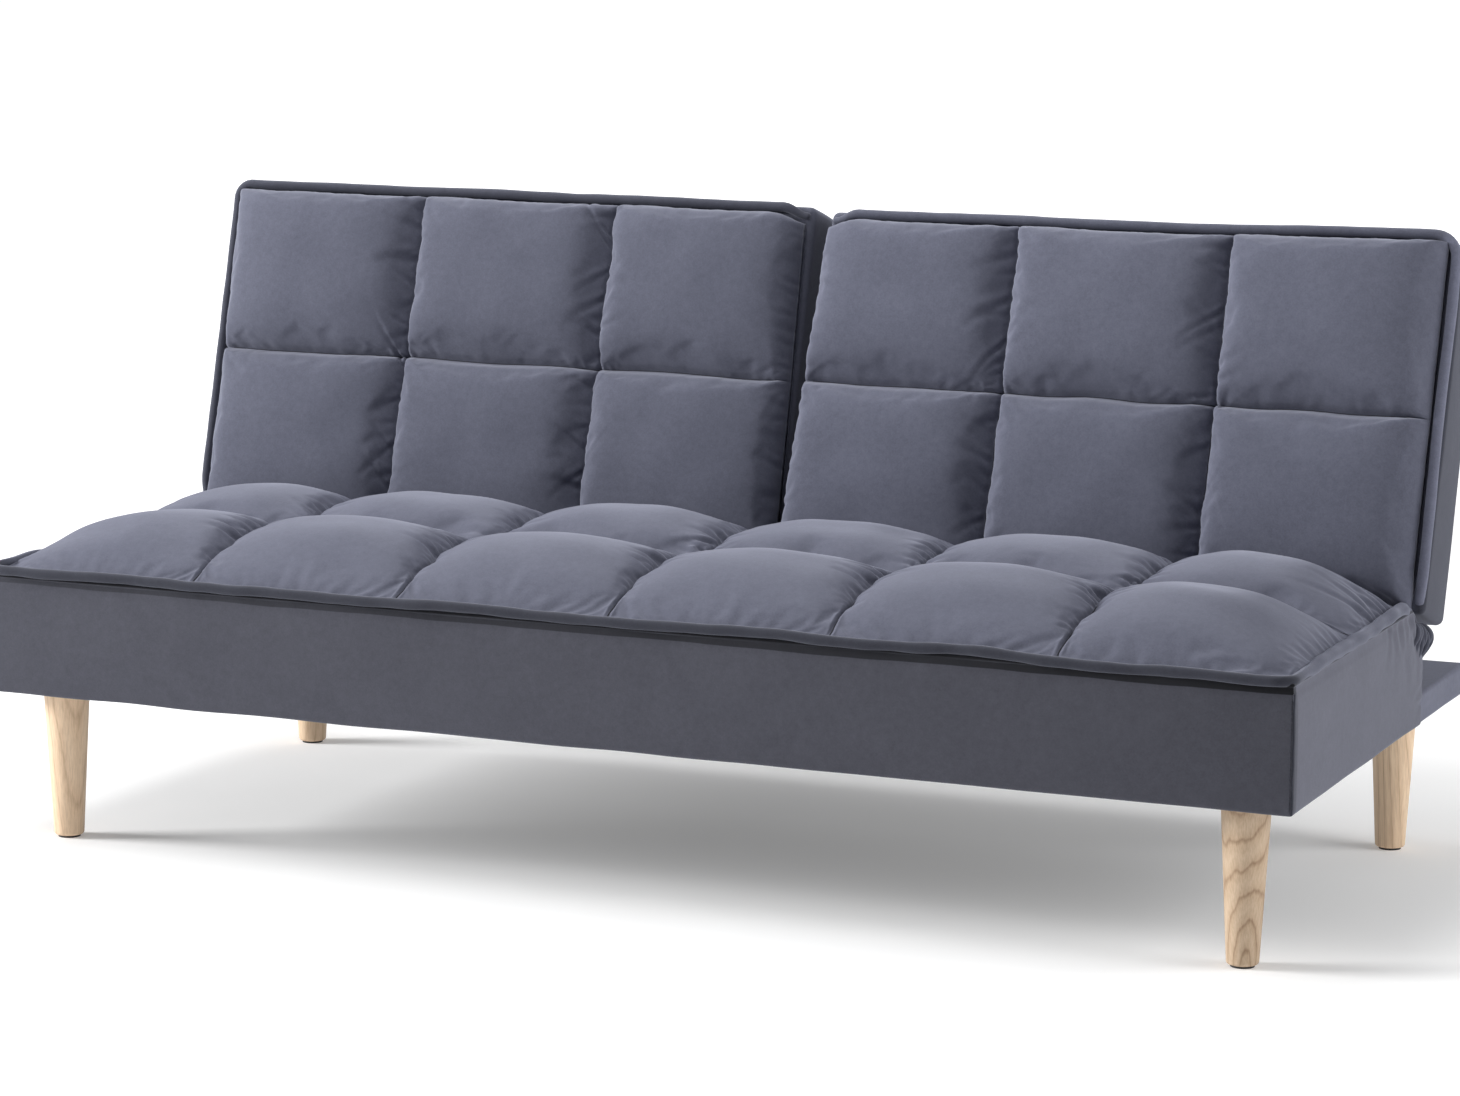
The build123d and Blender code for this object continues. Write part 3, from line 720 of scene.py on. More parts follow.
def widen_seat(ob):
    """The cushion stands a little further out at its left end."""
    co = coords(ob)
    co[:, 0] -= 0.010 * smooth(-co[:, 0], 0.62, 0.90)
    set_coords(ob, co)


def flare_back(ob, side, s):
    """The sewn outline of a back drifts from the straight frame inside it."""
    co = coords(ob)
    rel = co - PIVOT
    x, v, w = s * co[:, 0], rel @ UP, rel @ OUT
    high = smooth(v, 0.25, 0.50)
    if side == "left":
        x = x + 0.013 * smooth(x, 0.45, 0.90) * np.clip(v / 0.5, 0, 1.1) ** 1.5
        v = v + 0.0040 * high
    else:
        v = v + (0.0005 + 0.0055 * smooth(x, 0.50, 0.84)) * high
    set_coords(ob, back_to_world(np.stack([s * x, v, w], 1)))


# ---------------------------------------------------------------- seat pad
SEAT_X = [-0.888, -0.6, -0.3, 0.0, 0.3, 0.6, 0.888]
SEAT_Y = [0.008, 0.293, 0.552]
Z_EDGE, Z_SEAM, Z_REAR, ROW_DIP = 0.369, 0.414, 0.352, 0.013
SEAT_BULGE = 0.028


def seat_droop(x, y):
    """The front edge sags towards its right-hand corner."""
    return 0.0048 * smooth(x, 0.35, 0.86) * (1 - smooth(y, 0.06, 0.30))


def seat_height(x, y):
    ends = np.where(x < 0, rise(0.888 - np.abs(x), 0.24, 2.0, 0.68), rise(0.888 - np.abs(x), 0.22, 2.0, 0.7))
    edge = Z_EDGE - seat_droop(x, y) * (1 - rise(y - SEAT_Y[0], 0.12))
    z = edge + (Z_SEAM - edge) * ends * rise(y - SEAT_Y[0], 0.20, 2.0, 0.8)
    rear = rise(SEAT_Y[2] - y, 0.11, 2.0, 0.78)
    z = Z_REAR + (z - Z_REAR) * rear
    z = z - ROW_DIP * np.exp(-np.abs((y - SEAT_Y[1]) / 0.045) ** 1.6) * ends
    tx, i, dx = cell_coord(x, SEAT_X)
    ty, j, dy = cell_coord(y, SEAT_Y)
    rng = np.random.default_rng(11)
    lift = 1 + 0.08 * rng.uniform(-1, 1, (6, 2))
    lift[0] -= 0.10
    front = (j == 0) & (ty < 0)
    cy = np.where(front, cell(ty, 2.2, 1.5), cell(ty, 2.2, np.where((j == 1) & (ty > 0), 1.35, 0.75)))
    end = ((i == 0) & (tx < 0)) | ((i == 5) & (tx > 0))
    cx = np.where(end, cell(tx, 2.0, np.where(i == 0, 1.0, 1.25)), cell(tx, 2.2, 0.8))
    z = z + SEAT_BULGE * cx * cy * lift[i, j]
    inside = rise(y - SEAT_Y[0], 0.05) * rise(SEAT_Y[2] - y, 0.05)
    z = z - 0.0050 * np.exp(-((dx / 0.0032) ** 2)) * (np.abs(x) < 0.75) * inside
    z = z - 0.0040 * np.exp(-((dy / 0.0032) ** 2)) * (np.abs(y - SEAT_Y[1]) < 0.1) * rise(0.888 - np.abs(x), 0.05)
    return z, dx, dy


def seat_drift_x(x, y):
    """How far the column seams wander from straight."""
    out = np.zeros(len(x))
    for k, sx in enumerate(SEAT_X[1:-1]):
        out += 0.0024 * line_noise(y, 0.085, 60 + k) * np.exp(-(((x - sx) / 0.06) ** 2))
    return out


def seat_drift_y(x, y):
    return 0.0026 * line_noise(x, 0.12, 70) * np.exp(-(((y - SEAT_Y[1]) / 0.06) ** 2))


def build_seat_pad():
    xs = stations(SEAT_X, [56] * 6)
    ys = stations(SEAT_Y, [76, 70])
    X, Y = np.meshgrid(xs, ys, indexing="ij")
    x, y = X.ravel(), Y.ravel()
    z, dx, dy = seat_height(x, y)
    nx, ny = len(xs), len(ys)
    place = np.stack([x + seat_drift_x(x, y), y + seat_drift_y(x, y), z], 1)
    ob = new_object("seat_pad", seat_to_world(place), grid_faces(nx, ny), VELVET)
    col = np.isin(np.round(x, 6), np.round(SEAT_X, 6))
    row = np.isin(np.round(y, 6), np.round(SEAT_Y, 6))
    seam = col | row
    simulate(ob, seam.astype(float), pressure=SIM_PRESSURE, slack=0.018, frames=SIM_FRAMES, cap=0.0042)
    loop = [i * ny for i in range(nx)] + [(nx - 1) * ny + j for j in range(1, ny)]
    loop += [i * ny + ny - 1 for i in range(nx - 2, -1, -1)] + [j for j in range(ny - 2, 0, -1)]
    loop = loop[::-1]
    edge = coords(ob)[loop]
    mid = np.array([0.0, 0.29 - YM, 0.0])
    pull = np.sign(edge - mid) * np.array([0.003, 0.003, 0.0])
    r1, r2 = edge - pull, edge - pull * 1.6
    r1[:, 2], r2[:, 2] = edge[:, 2] - 0.012, 0.326
    add_skirt(ob, loop, [r1, r2])
    crease_edges(ob, seam, 0.9)
    subdivide(ob, 1)
    co, nr = coords(ob), normals(ob)
    x, y = co[:, 0], co[:, 1] + YM
    x, y = x - seat_drift_x(x, y), y - seat_drift_y(x, y)
    push = np.zeros(len(co))
    for k, sx in enumerate(SEAT_X[1:-1]):
        near = np.abs(x - sx) < 0.1
        for e, deep in ((-1, 1.0), (1, 0.45)):
            m = near & (np.sign(x - sx) == e)
            d = np.abs(x - sx)[m]
            seed = 1000 + 40 * k + 10 * e
            push[m] += pleats(d, y[m], spread(0.140, 0.285, 0.013, seed), seed + 1, 0.0056 * deep, 0.056, 0.0044)
            push[m] += pleats(d, y[m], spread(0.305, 0.420, 0.015, seed + 2), seed + 3, 0.0042 * deep, 0.048, 0.0044)
            push[m] += pleats(d, y[m], spread(0.060, 0.140, 0.026, seed + 4), seed + 5, 0.0016 * deep, 0.035)
            push[m] += pleats(d, y[m], spread(0.450, 0.540, 0.018, seed + 6), seed + 7, 0.0026 * deep, 0.042)
    for e in (-1, 1):
        m = (np.sign(y - SEAT_Y[1]) == e) & (np.abs(y - SEAT_Y[1]) < 0.08)
        push[m] += pleats(np.abs(y - SEAT_Y[1])[m], x[m], spread(-0.87, 0.87, 0.034, 1300 + e), 1310 + e, 0.0013, 0.035)
        m = np.sign(x) == e
        d = 0.888 - np.abs(x[m])
        push[m] += pleats(d, y[m], spread(0.360, 0.540, 0.017, 1320 + e), 1330 + e, 0.0032, 0.100, 0.006)
        push[m] += pleats(d, y[m], spread(0.030, 0.340, 0.030, 1340 + e), 1350 + e, 0.0012, 0.045)
    for k, sx in enumerate(SEAT_X[1:-1]):
        for e in (-1, 1):
            m = (np.sign(x - sx) == e) & (np.abs(x - sx) < 0.03)
            push[m] += pleats(np.abs(x - sx)[m], y[m], spread(0.05, 0.54, 0.0105, 1400 + 9 * k + e), 1450 + 9 * k + e, 0.0019 if e < 0 else 0.0007, 0.026, 0.0030)
    m = y < 0.1
    push[m] += pleats((y - SEAT_Y[0])[m], x[m], spread(-0.87, 0.87, 0.045, 1360), 1370, 0.0009, 0.035, 0.007)
    inner = np.clip(np.minimum(cell_coord(x, SEAT_X)[2], cell_coord(y, SEAT_Y)[2]) / 0.04, 0, 1)
    push += 0.0010 * waves(np.stack([x, y], 1), 0.12, 5) * inner
    push[co[:, 2] < 0.345] = 0
    co = co + nr * push[:, None]
    set_coords(ob, co)
    cap_opening(ob)
    widen_seat(ob)
    lines = [[i * ny + j for j in range(3, ny - 2)] for i in range(nx) if np.any(np.abs(xs[i] - np.array(SEAT_X[1:-1])) < 1e-6)]
    j = int(np.argmin(np.abs(ys - SEAT_Y[1])))
    lines.append([i * ny + j for i in range(3, nx - 3)])
    # dark cords along the seams: a seam line with painted crease shadow
    seams = cords("seat_seam_shadows", [co[k] + np.array([0, 0, 0.0002]) for k in lines], 0.0011, SEAM_SHADOW)
    widen_seat(seams)
    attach(seams, "base")
    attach(ob, "base")
    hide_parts("seat_foam", "seat_cover_top")
    return ob


SIM_PRESSURE = 2.0
SIM_FRAMES = 14


# --------------------------------------------------------------- back pads
BACK_OUT = {"left": 0.909, "right": 0.899}      # centre line of the outer piping
BACK_TOP = {"left": 0.508, "right": 0.506}
V_BOT, V_ROW = 0.016, 0.265
W_EDGE, W_SEAM, W_BULGE = 0.030, 0.063, 0.027


def inner_edge(v):
    """The split edges lean apart a little towards the top."""
    return 0.004 + 0.018 * np.clip((v - 0.012) / 0.496, 0, 1) ** 1.2


def steep(d, near, far, share=0.66):
    return share * rise(d, near, 2.0, 0.5) + (1 - share) * rise(d, far, 2.0, 0.8)


def lopsided(t, p_low, q_low, p_high, q_high):
    """Quilt cell profile with a different shoulder at each end."""
    return np.where(t < 0, cell(t, p_low, q_low), cell(t, p_high, q_high))


def both(a, b, k=4.0):
    """Soft minimum, so that the corners of a cell stay full."""
    a, b = np.maximum(a, 1e-6), np.maximum(b, 1e-6)
    return (a ** -k + b ** -k) ** (-1 / k)


def back_drift_x(x, v, s):
    """How far the column seams of a back wander from straight."""
    out = np.zeros(len(x))
    for k, sx in enumerate((0.3, 0.6)):
        out += 0.0012 * line_noise(v, 0.10, 80 + k + 5 * s) * np.exp(-(((x - sx) / 0.05) ** 2))
    return out


def back_drift_v(x, v, s):
    return 0.0016 * line_noise(x, 0.20, 95 + 5 * s) * np.exp(-(((v - V_ROW) / 0.05) ** 2))


def build_back_pad(side, s):
    out, top = BACK_OUT[side] - 0.0105, BACK_TOP[side] - 0.0095
    stops_x, stops_v = [0.0, 0.3, 0.6, out], [V_BOT, V_ROW, top]
    xs = stations(stops_x, [56] * 3)
    vs = stations(stops_v, [62, 62])
    X, V = np.meshgrid(xs, vs, indexing="ij")
    x0, v = X.ravel(), V.ravel()
    xi = inner_edge(v)
    x = np.where(x0 < 0.3, xi + (x0 / 0.3) * (0.3 - xi), x0)
    tx, i, dx = cell_coord(x0, stops_x)
    tv, j, dv = cell_coord(v, stops_v)
    din, dout, dbot, dtop = x - xi, out - x, v - V_BOT, top - v
    crisp, slack = (0.014, 0.13, 0.84), (0.026, 0.12, 0.70)
    at_out, at_in = ((0.012, 0.17, 0.34), slack) if s < 0 else ((0.060, 0.14, 0.60), crisp)
    base = both(both(steep(dout, *at_out), steep(din, *at_in)), both(steep(dtop, *crisp), steep(dbot, 0.05, 0.12)))
    base = base / base.max()
    low = W_EDGE + 0.006 * np.exp(-((din / 0.02) ** 2)) + 0.006 * np.exp(-((dout / 0.03) ** 2)) - 0.012 * np.exp(-((dbot / 0.03) ** 2))
    rng = np.random.default_rng(21 if s < 0 else 22)
    lift = 1 + 0.10 * rng.uniform(-1, 1, (3, 2))
    lift[:, 0] -= 0.17 if s < 0 else 0.0
    u = tx * s
    bulge = 0.56 * both(lopsided(u, 11.0, 0.5, 2.5, 0.72), lopsided(tv, 3.0, 0.6, 10.0, 0.5)) * 2 ** 0.25
    bulge += 0.44 * lopsided(u, 5.0, 0.8, 1.7, 0.95) * lopsided(tv, 2.0, 0.9, 4.5, 0.8)
    w = low + (W_SEAM - low) * base + W_BULGE * bulge * lift[i, j]
    w -= 0.002 * np.exp(-np.abs((v - V_ROW) / 0.04) ** 1.6) * rise(dout, 0.08) * rise(din, 0.08)
    w -= 0.0045 * np.exp(-((dx / 0.0030) ** 2)) * (np.abs(x0 - 0.45) < 0.2) * rise(dtop, 0.03) * rise(dbot, 0.03)
    w -= 0.0035 * np.exp(-((dv / 0.0030) ** 2)) * (np.abs(v - V_ROW) < 0.1) * rise(dout, 0.03) * rise(din, 0.03)
    # each cell falls away slowly towards its right-hand and lower seams
    width = np.array([0.3, 0.3, out - 0.6])[i]
    d_right, d_left = (1 - u) / 2 * width, (1 + u) / 2 * width
    right_in, left_in = ((i < 2), (i > 0)) if s > 0 else ((i > 0), (i < 2))
    fall = np.where(right_in, np.exp(-((d_right / 0.030) ** 1.4)), 0) + np.where(left_in, np.exp(-((d_left / 0.0045) ** 2)), 0)
    w -= 0.0085 * fall * rise(dtop, 0.05) * rise(dbot, 0.03)
    under = np.where(j == 1, np.exp(-(np.abs(dv / 0.030) ** 1.4)) * (tv < 0), np.exp(-((dv / 0.0045) ** 2)) * (tv > 0))
    w -= 0.0050 * under * rise(dout, 0.04) * rise(din, 0.04)
    v = v - 0.013 * np.exp(-((din / 0.024) ** 2)) * smooth(v, top - 0.07, top)
    x = x + back_drift_x(x, v, s)
    v = v + back_drift_v(x, v, s)
    q = np.stack([s * x, v, w], 1)
    nx, nv = len(xs), len(vs)
    faces = grid_faces(nx, nv)
    if s < 0:
        faces = faces[:, ::-1]
    ob = new_object(side + "_back_pad", back_to_world(q), faces, BACK_VELVET[side])
    seam = np.isin(np.round(x0, 6), np.round(stops_x, 6)) | np.isin(np.round(V.ravel(), 6), np.round(stops_v, 6))
    simulate(ob, seam.astype(float), pressure=SIM_PRESSURE, slack=0.012, frames=SIM_FRAMES, cap=0.0024)
    loop = [a * nv for a in range(nx)] + [(nx - 1) * nv + b for b in range(1, nv)]
    loop += [a * nv + nv - 1 for a in range(nx - 2, -1, -1)] + [b for b in range(nv - 2, 0, -1)]
    if s > 0:
        loop = loop[::-1]
    q1 = q[loop]
    centre = np.array([s * 0.45, 0.26, 0.0])
    pull = np.sign(q1 - centre) * np.array([0.003, 0.003, 0.0])
    ra, rb = q1 - pull, q1 - pull * 1.6
    ra[:, 2], rb[:, 2] = q1[:, 2] - 0.012, -0.004
    add_skirt(ob, loop, [back_to_world(ra), back_to_world(rb)])
    crease_edges(ob, seam, 0.9)
    subdivide(ob, 1)
    co, nr = coords(ob), normals(ob)
    rel = co - PIVOT
    x, v, w = np.abs(co[:, 0]), rel @ UP, rel @ OUT
    x, v = x - back_drift_x(x, v, s), v - back_drift_v(x, v, s)
    xi = inner_edge(v)
    push = np.zeros(len(co))
    seed = 2000 if s < 0 else 3000
    for k, sx in enumerate((0.3, 0.6)):
        for e in (-1, 1):
            m = (np.sign(x - sx) == e) & (np.abs(x - sx) < 0.08)
            d = np.abs(x - sx)[m]
            deep = 1.0 if e * s < 0 else 0.4
            sd = seed + 50 * k + 10 * e
            push[m] += pleats(d, v[m], spread(0.05, 0.25, 0.027, sd), sd + 1, 0.0030 * deep, 0.052, 0.0056, 0.8)
            push[m] += pleats(d, v[m], spread(0.275, 0.49, 0.025, sd + 2), sd + 3, 0.0034 * deep, 0.056, 0.0056, 0.8)
    for e in (-1, 1):
        m = (np.sign(v - V_ROW) == e) & (np.abs(v - V_ROW) < 0.06)
        push[m] += pleats(np.abs(v - V_ROW)[m], x[m], spread(0.03, 0.88, 0.048, seed + 200 + e), seed + 210 + e, 0.0008, 0.028)
    m = x < 0.12
    push[m] += pleats((x - xi)[m], v[m], spread(0.08, 0.49, 0.024, seed + 220), seed + 221, 0.0016, 0.045)
    m = x > out - 0.1
    push[m] += pleats((out - x)[m], v[m], spread(0.05, 0.48, 0.040, seed + 230), seed + 231, 0.0008, 0.035)
    m = v > top - 0.08
    push[m] += pleats((top - v)[m], x[m], spread(0.04, 0.87, 0.050, seed + 240), seed + 241, 0.0008, 0.030)
    for k, sx in enumerate((0.3, 0.6)):
        for e in (-1, 1):
            m = (np.sign(x - sx) == e) & (np.abs(x - sx) < 0.03)
            push[m] += pleats(np.abs(x - sx)[m], v[m], spread(0.03, 0.49, 0.0105, seed + 300 + 9 * k + e), seed + 320 + 9 * k + e, 0.0009, 0.014, 0.0030)
    for d, along, a, b, k in ((out - x, v, 0.03, 0.49, 0), (top - v, x, 0.03, 0.88, 1), (x - xi, v, 0.03, 0.49, 2)):
        m = d < 0.03
        push[m] += pleats(d[m], along[m], spread(a, b, 0.011, seed + 340 + k), seed + 350 + k, 0.0007, 0.012, 0.0032)
    push += 0.0008 * waves(np.stack([x, v], 1), 0.12, seed + 250) * np.clip((w - 0.05) / 0.02, 0, 1)
    push[w < 0.02] = 0
    co = co + nr * push[:, None]
    set_coords(ob, co)
    cap_opening(ob)
    flare_back(ob, side, s)
    lines = [[a * nv + b for b in range(4, nv - 4)] for a in range(nx) if min(abs(xs[a] - 0.3), abs(xs[a] - 0.6)) < 1e-6]
    b = int(np.argmin(np.abs(vs - V_ROW)))
    lines.append([a * nv + b for a in range(6, nx - 6)])
    # dark cords along the seams: a seam line with painted crease shadow
    seams = cords(side + "_back_seam_shadows", [co[k] + OUT * 0.0002 for k in lines], 0.0011, SEAM_SHADOW)
    flare_back(seams, side, s)
    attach(seams, side + "_back")
    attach(ob, side + "_back")
    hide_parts(side + "_back_foam", side + "_back_front_cover")
    return ob


def build_back_shell(side, s):
    """The boxed band and the plain rear panel of a back."""
    out, top = BACK_OUT[side] + 0.006, BACK_TOP[side] + 0.004
    lo, hi = (0.004, 0.012, -0.0814), (out, top, 0.030)
    pts, quads, nrm = rounded_box(lo, hi, 0.010, (0.014, 0.014, 0.010))
    x, v, w = pts.T
    seed = 400 if s < 0 else 500
    rear = np.clip(-nrm[:, 2], 0, 1)
    edge = np.clip(1 - np.abs(nrm[:, 2]), 0, 1)
    mid = cell((x - 0.45) / 0.45, 2.0, 0.8) * cell((v - 0.26) / 0.25, 2.0, 0.8)
    push = rear * (0.0014 * mid + 0.0005 * waves(np.stack([x, v], 1), 0.20, seed))
    push += edge * 0.0006 * waves(pts, 0.16, seed + 1)
    push += edge * 0.0015 * cell((w + 0.028) / 0.058, 2.0, 1.0)
    pts = pts + nrm * push[:, None]
    f = np.clip((0.45 - pts[:, 0]) / 0.446, 0, 1)
    pts[:, 0] += f * (inner_edge(pts[:, 1]) - 0.004) * 0.5
    round_r = 0.028 if s < 0 else 0.036
    corner = np.array([out - round_r, top - round_r])
    q = pts[:, :2] - corner
    far = np.linalg.norm(q, axis=1)
    m = (q[:, 0] > 0) & (q[:, 1] > 0) & (far > round_r)
    pts[m, :2] = corner + q[m] * (round_r / far[m])[:, None]
    pts[:, 0] *= s
    if s < 0:
        quads = quads[:, ::-1]
    ob = new_object(side + "_back_shell", back_to_world(pts), quads, BAND_VELVET)
    subdivide(ob, 1)
    flare_back(ob, side, s)
    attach(ob, side + "_back")
    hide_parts(side + "_back_band", side + "_back_rear_cover")
    return ob


def build_back_piping(side, s):
    w0, e, t = 0.036, BACK_OUT[side], BACK_TOP[side]
    a, b, c = (0.021, t), (e, t), (e, 0.028)
    pts = np.vstack([[a], corner_arc(a, b, c, 0.022 if s < 0 else 0.030), [c]])
    path, d = resample(pts, 0.006)
    seed = 600 if s < 0 else 620
    wob = np.stack([line_noise(d, 0.34, seed), line_noise(d, 0.30, seed + 1), line_noise(d, 0.25, seed + 2)], 1) * 0.0009
    q = np.stack([path[:, 0], path[:, 1], np.full(len(path), w0)], 1) + wob
    end = 1 - smooth(d, 0.0, 0.036)
    q[:, 1] -= end * 0.011
    q[:, 2] -= end * 0.006
    tail = smooth(d, d[-1] - 0.05, d[-1])
    q[:, 2] -= tail * 0.010
    q[:, 0] -= tail * 0.004
    q[:, 0] *= s
    r = 0.0071 + 0.0002 * line_noise(d, 0.08, seed + 3)
    r = r * (1 - 0.30 * end)
    ob = tube(side + "_back_welt", back_to_world(q), r, PIPE_VELVET[side])
    flare_back(ob, side, s)
    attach(ob, side + "_back")
    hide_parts(side + "_back_piping")
    return ob


# ------------------------------------------------------------- seat border
def build_seat_border():
    tall = 0.1605
    lo, hi = (-0.8995, 0.001, 0.2030), (0.8995, 0.600, 0.2030 + tall)
    margin, hem = 0.016, 0.034

    def keep(c, n):
        inside = np.minimum(0.8995 - np.abs(c[:, 0]), np.minimum(c[:, 1] - 0.001, 0.600 - c[:, 1]))
        return ~((n[:, 2] > 0.9) & (inside > margin)) & ~((n[:, 2] < -0.9) & (inside > hem))

    pts, quads, nrm = rounded_box(lo, hi, 0.005, (0.010, 0.010, 0.0042), keep)
    x, y, z = pts.T
    h = (z - 0.203) / tall
    wall = np.clip(1 - np.abs(nrm[:, 2]), 0, 1)
    front = np.clip(-nrm[:, 1], 0, 1)
    sides = np.abs(nrm[:, 0])
    along = np.where(sides > 0.7, y + 2.0, x)
    mid_x = cell(x / 0.9, 6.0, 1.0) * front + cell((y - 0.3) / 0.3, 4.0, 1.0) * sides
    push = wall * 0.0035 * cell(h * 2 - 1, 2.0, 0.8) * mid_x
    push += wall * 0.0009 * waves(pts * np.array([1, 1, 2.0]), 0.34, 701) * mid_x
    drop = (1 - h) * tall
    push -= wall * 0.0014 * (1 - smooth(drop, 0.0125, 0.0150))
    push -= wall * 0.0025 * np.exp(-((drop / 0.030) ** 2)) * (1 + 0.25 * line_noise(along, 0.16, 707))
    push += wall * pleats(drop - 0.014, along, spread(-0.88, 0.88, 0.060, 710), 711, 0.0011, 0.030, 0.008)
    lift = h * tall
    push += wall * pleats(lift, along, spread(-0.88, 0.88, 0.075, 712), 713, 0.0009, 0.022, 0.007)
    push += wall * pleats(lift, along, spread(0.86, 0.895, 0.008, 714), 715, 0.0016, 0.026, 0.004)
    push += sides * pleats(drop, y, spread(0.42, 0.60, 0.013, 716), 717, 0.0042, 0.090, 0.006, 0.7)
    push += sides * pleats(0.600 - y, z, spread(0.215, 0.330, 0.020, 718), 719, 0.0016, 0.060, 0.006, 0.5)
    pts = pts + nrm * push[:, None]
    k = smooth(pts[:, 1], 0.545, 0.585)
    pts[:, 2] = 0.203 + (pts[:, 2] - 0.203) * (1 - k * 0.181)
    bottom = np.exp(-((pts[:, 2] - 0.203) / 0.02) ** 2)
    pts[:, 2] += bottom * 0.0005 * line_noise(np.where(sides > 0.5, y + 2.0, x), 0.22, 720)
    ob = new_object("seat_border_cover", seat_to_world(pts), quads, BORDER_VELVET)
    subdivide(ob, 1)
    solidify(ob, 0.002)
    widen_seat(ob)
    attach(ob, "base")
    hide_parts("seat_border_front", "seat_border_left", "seat_border_right", "seat_border_rear")
    return ob


def build_seat_piping():
    e, f, z0 = 0.8935, 0.0018, 0.3698
    a, b, c, d = (-e, 0.552), (-e, f), (e, f), (e, 0.552)
    pts = np.vstack([[a], corner_arc(a, b, c, 0.020), corner_arc(b, c, d, 0.020), [d]])
    path, t = resample(pts, 0.006)
    wob = np.stack([line_noise(t, 0.40, 801), line_noise(t, 0.36, 802), line_noise(t, 0.34, 803)], 1)
    q = np.stack([path[:, 0], path[:, 1], np.full(len(path), z0)], 1) + wob * np.array([0.0009, 0.0013, 0.0016])
    fine = np.stack([line_noise(t, 0.09, 805), line_noise(t, 0.09, 806), line_noise(t, 0.08, 807)], 1)
    beside = smooth(path[:, 1], 0.05, 0.15)[:, None]
    q += fine * (0.0004 + 0.0010 * beside)
    end = np.maximum(1 - smooth(t, 0, 0.05), smooth(t, t[-1] - 0.05, t[-1]))
    q[:, 2] -= end * 0.012
    q[:, 0] -= np.sign(q[:, 0]) * end * 0.006
    q[:, 2] -= seat_droop(q[:, 0], q[:, 1])
    r = (0.0068 + 0.0016 * beside[:, 0] + 0.0003 * line_noise(t, 0.10, 804)) * (1 - 0.2 * end)
    ob = tube("seat_welt", seat_to_world(q), r, SEAT_PIPE, seg=18)
    widen_seat(ob)
    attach(ob, "base")
    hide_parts("seat_piping")
    return ob


def build_deck():
    lo, hi = (-0.8985, 0.5860, 0.2030), (0.8985, 0.8300, 0.2462)
    hem = 0.034

    def keep(c, n):
        inside = np.minimum(0.8985 - np.abs(c[:, 0]), 0.830 - c[:, 1])
        return ~((n[:, 2] < -0.9) & (inside > hem)) & ~(n[:, 1] < -0.7)

    pts, quads, nrm = rounded_box(lo, hi, 0.006, (0.012, 0.008, 0.006), keep)
    x, y, z = pts.T
    up = np.clip(nrm[:, 2], 0, 1)
    wall = np.clip(1 - np.abs(nrm[:, 2]), 0, 1)
    push = up * (0.0004 * waves(pts, 0.16, 901) - 0.0006)
    push += up * pleats(y - 0.601, x, spread(-0.88, 0.88, 0.05, 904), 905, 0.0014, 0.08, 0.008)
    push += wall * 0.0008 * waves(pts, 0.10, 902)
    push += np.abs(nrm[:, 0]) * pleats(y - 0.598, z, spread(0.206, 0.244, 0.008, 906), 907, 0.0020, 0.085, 0.004, 0.15)
    ob = new_object("deck_cover_cloth", seat_to_world(pts + nrm * push[:, None]), quads, DECK_VELVET)
    subdivide(ob, 1)
    solidify(ob, 0.002)
    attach(ob, "base")
    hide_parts("deck_cover")
    return ob


def build_corner_seams():
    """Upright sewn seams at the front corners of the border, with their stitches."""
    verts, faces = [], []

    def capsule(p, q, r, seg=6):
        p, q = np.asarray(p, float), np.asarray(q, float)
        t = (q - p) / np.linalg.norm(q - p)
        u = np.cross(t, [0.3, 0.9, 0.2])
        u /= np.linalg.norm(u)
        w = np.cross(t, u)
        ang = np.arange(seg) * 2 * math.pi / seg
        base = len(verts)
        for c, k in ((p - t * r * 0.6, 0.5), (p, 1.0), (q, 1.0), (q + t * r * 0.6, 0.5)):
            for a in ang:
                verts.append(c + (math.cos(a) * u + math.sin(a) * w) * r * k)
        for i in range(3):
            for k in range(seg):
                a, b = base + i * seg + k, base + i * seg + (k + 1) % seg
                faces.append([a, b, b + seg, a + seg])
        faces.append([base + k for k in range(seg)][::-1])
        faces.append([base + 3 * seg + k for k in range(seg)])

    for s in (-1, 1):
        for k in range(20):
            z = 0.2095 + k * 0.0068
            capsule((s * 0.8950, 0.0008, z), (s * 0.8950, 0.0008, z + 0.0044), 0.0008)
    for s in (-1, 1):
        zs = np.linspace(0.2055, 0.3500, 40)
        line = np.stack([s * (0.8976 + 0.0004 * line_noise(zs, 0.05, 730)), 0.0030 + 0.0004 * line_noise(zs, 0.04, 731), zs], 1)
        cord = tube("corner_cord_" + ("left" if s < 0 else "right"), seat_to_world(line), 0.0017, SEAT_PIPE, seg=8)
        widen_seat(cord)
        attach(cord, "base")
    ob = new_object("corner_stitches", seat_to_world(np.array(verts)), faces, SEAM_THREAD)
    widen_seat(ob)
    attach(ob, "base")
    return ob


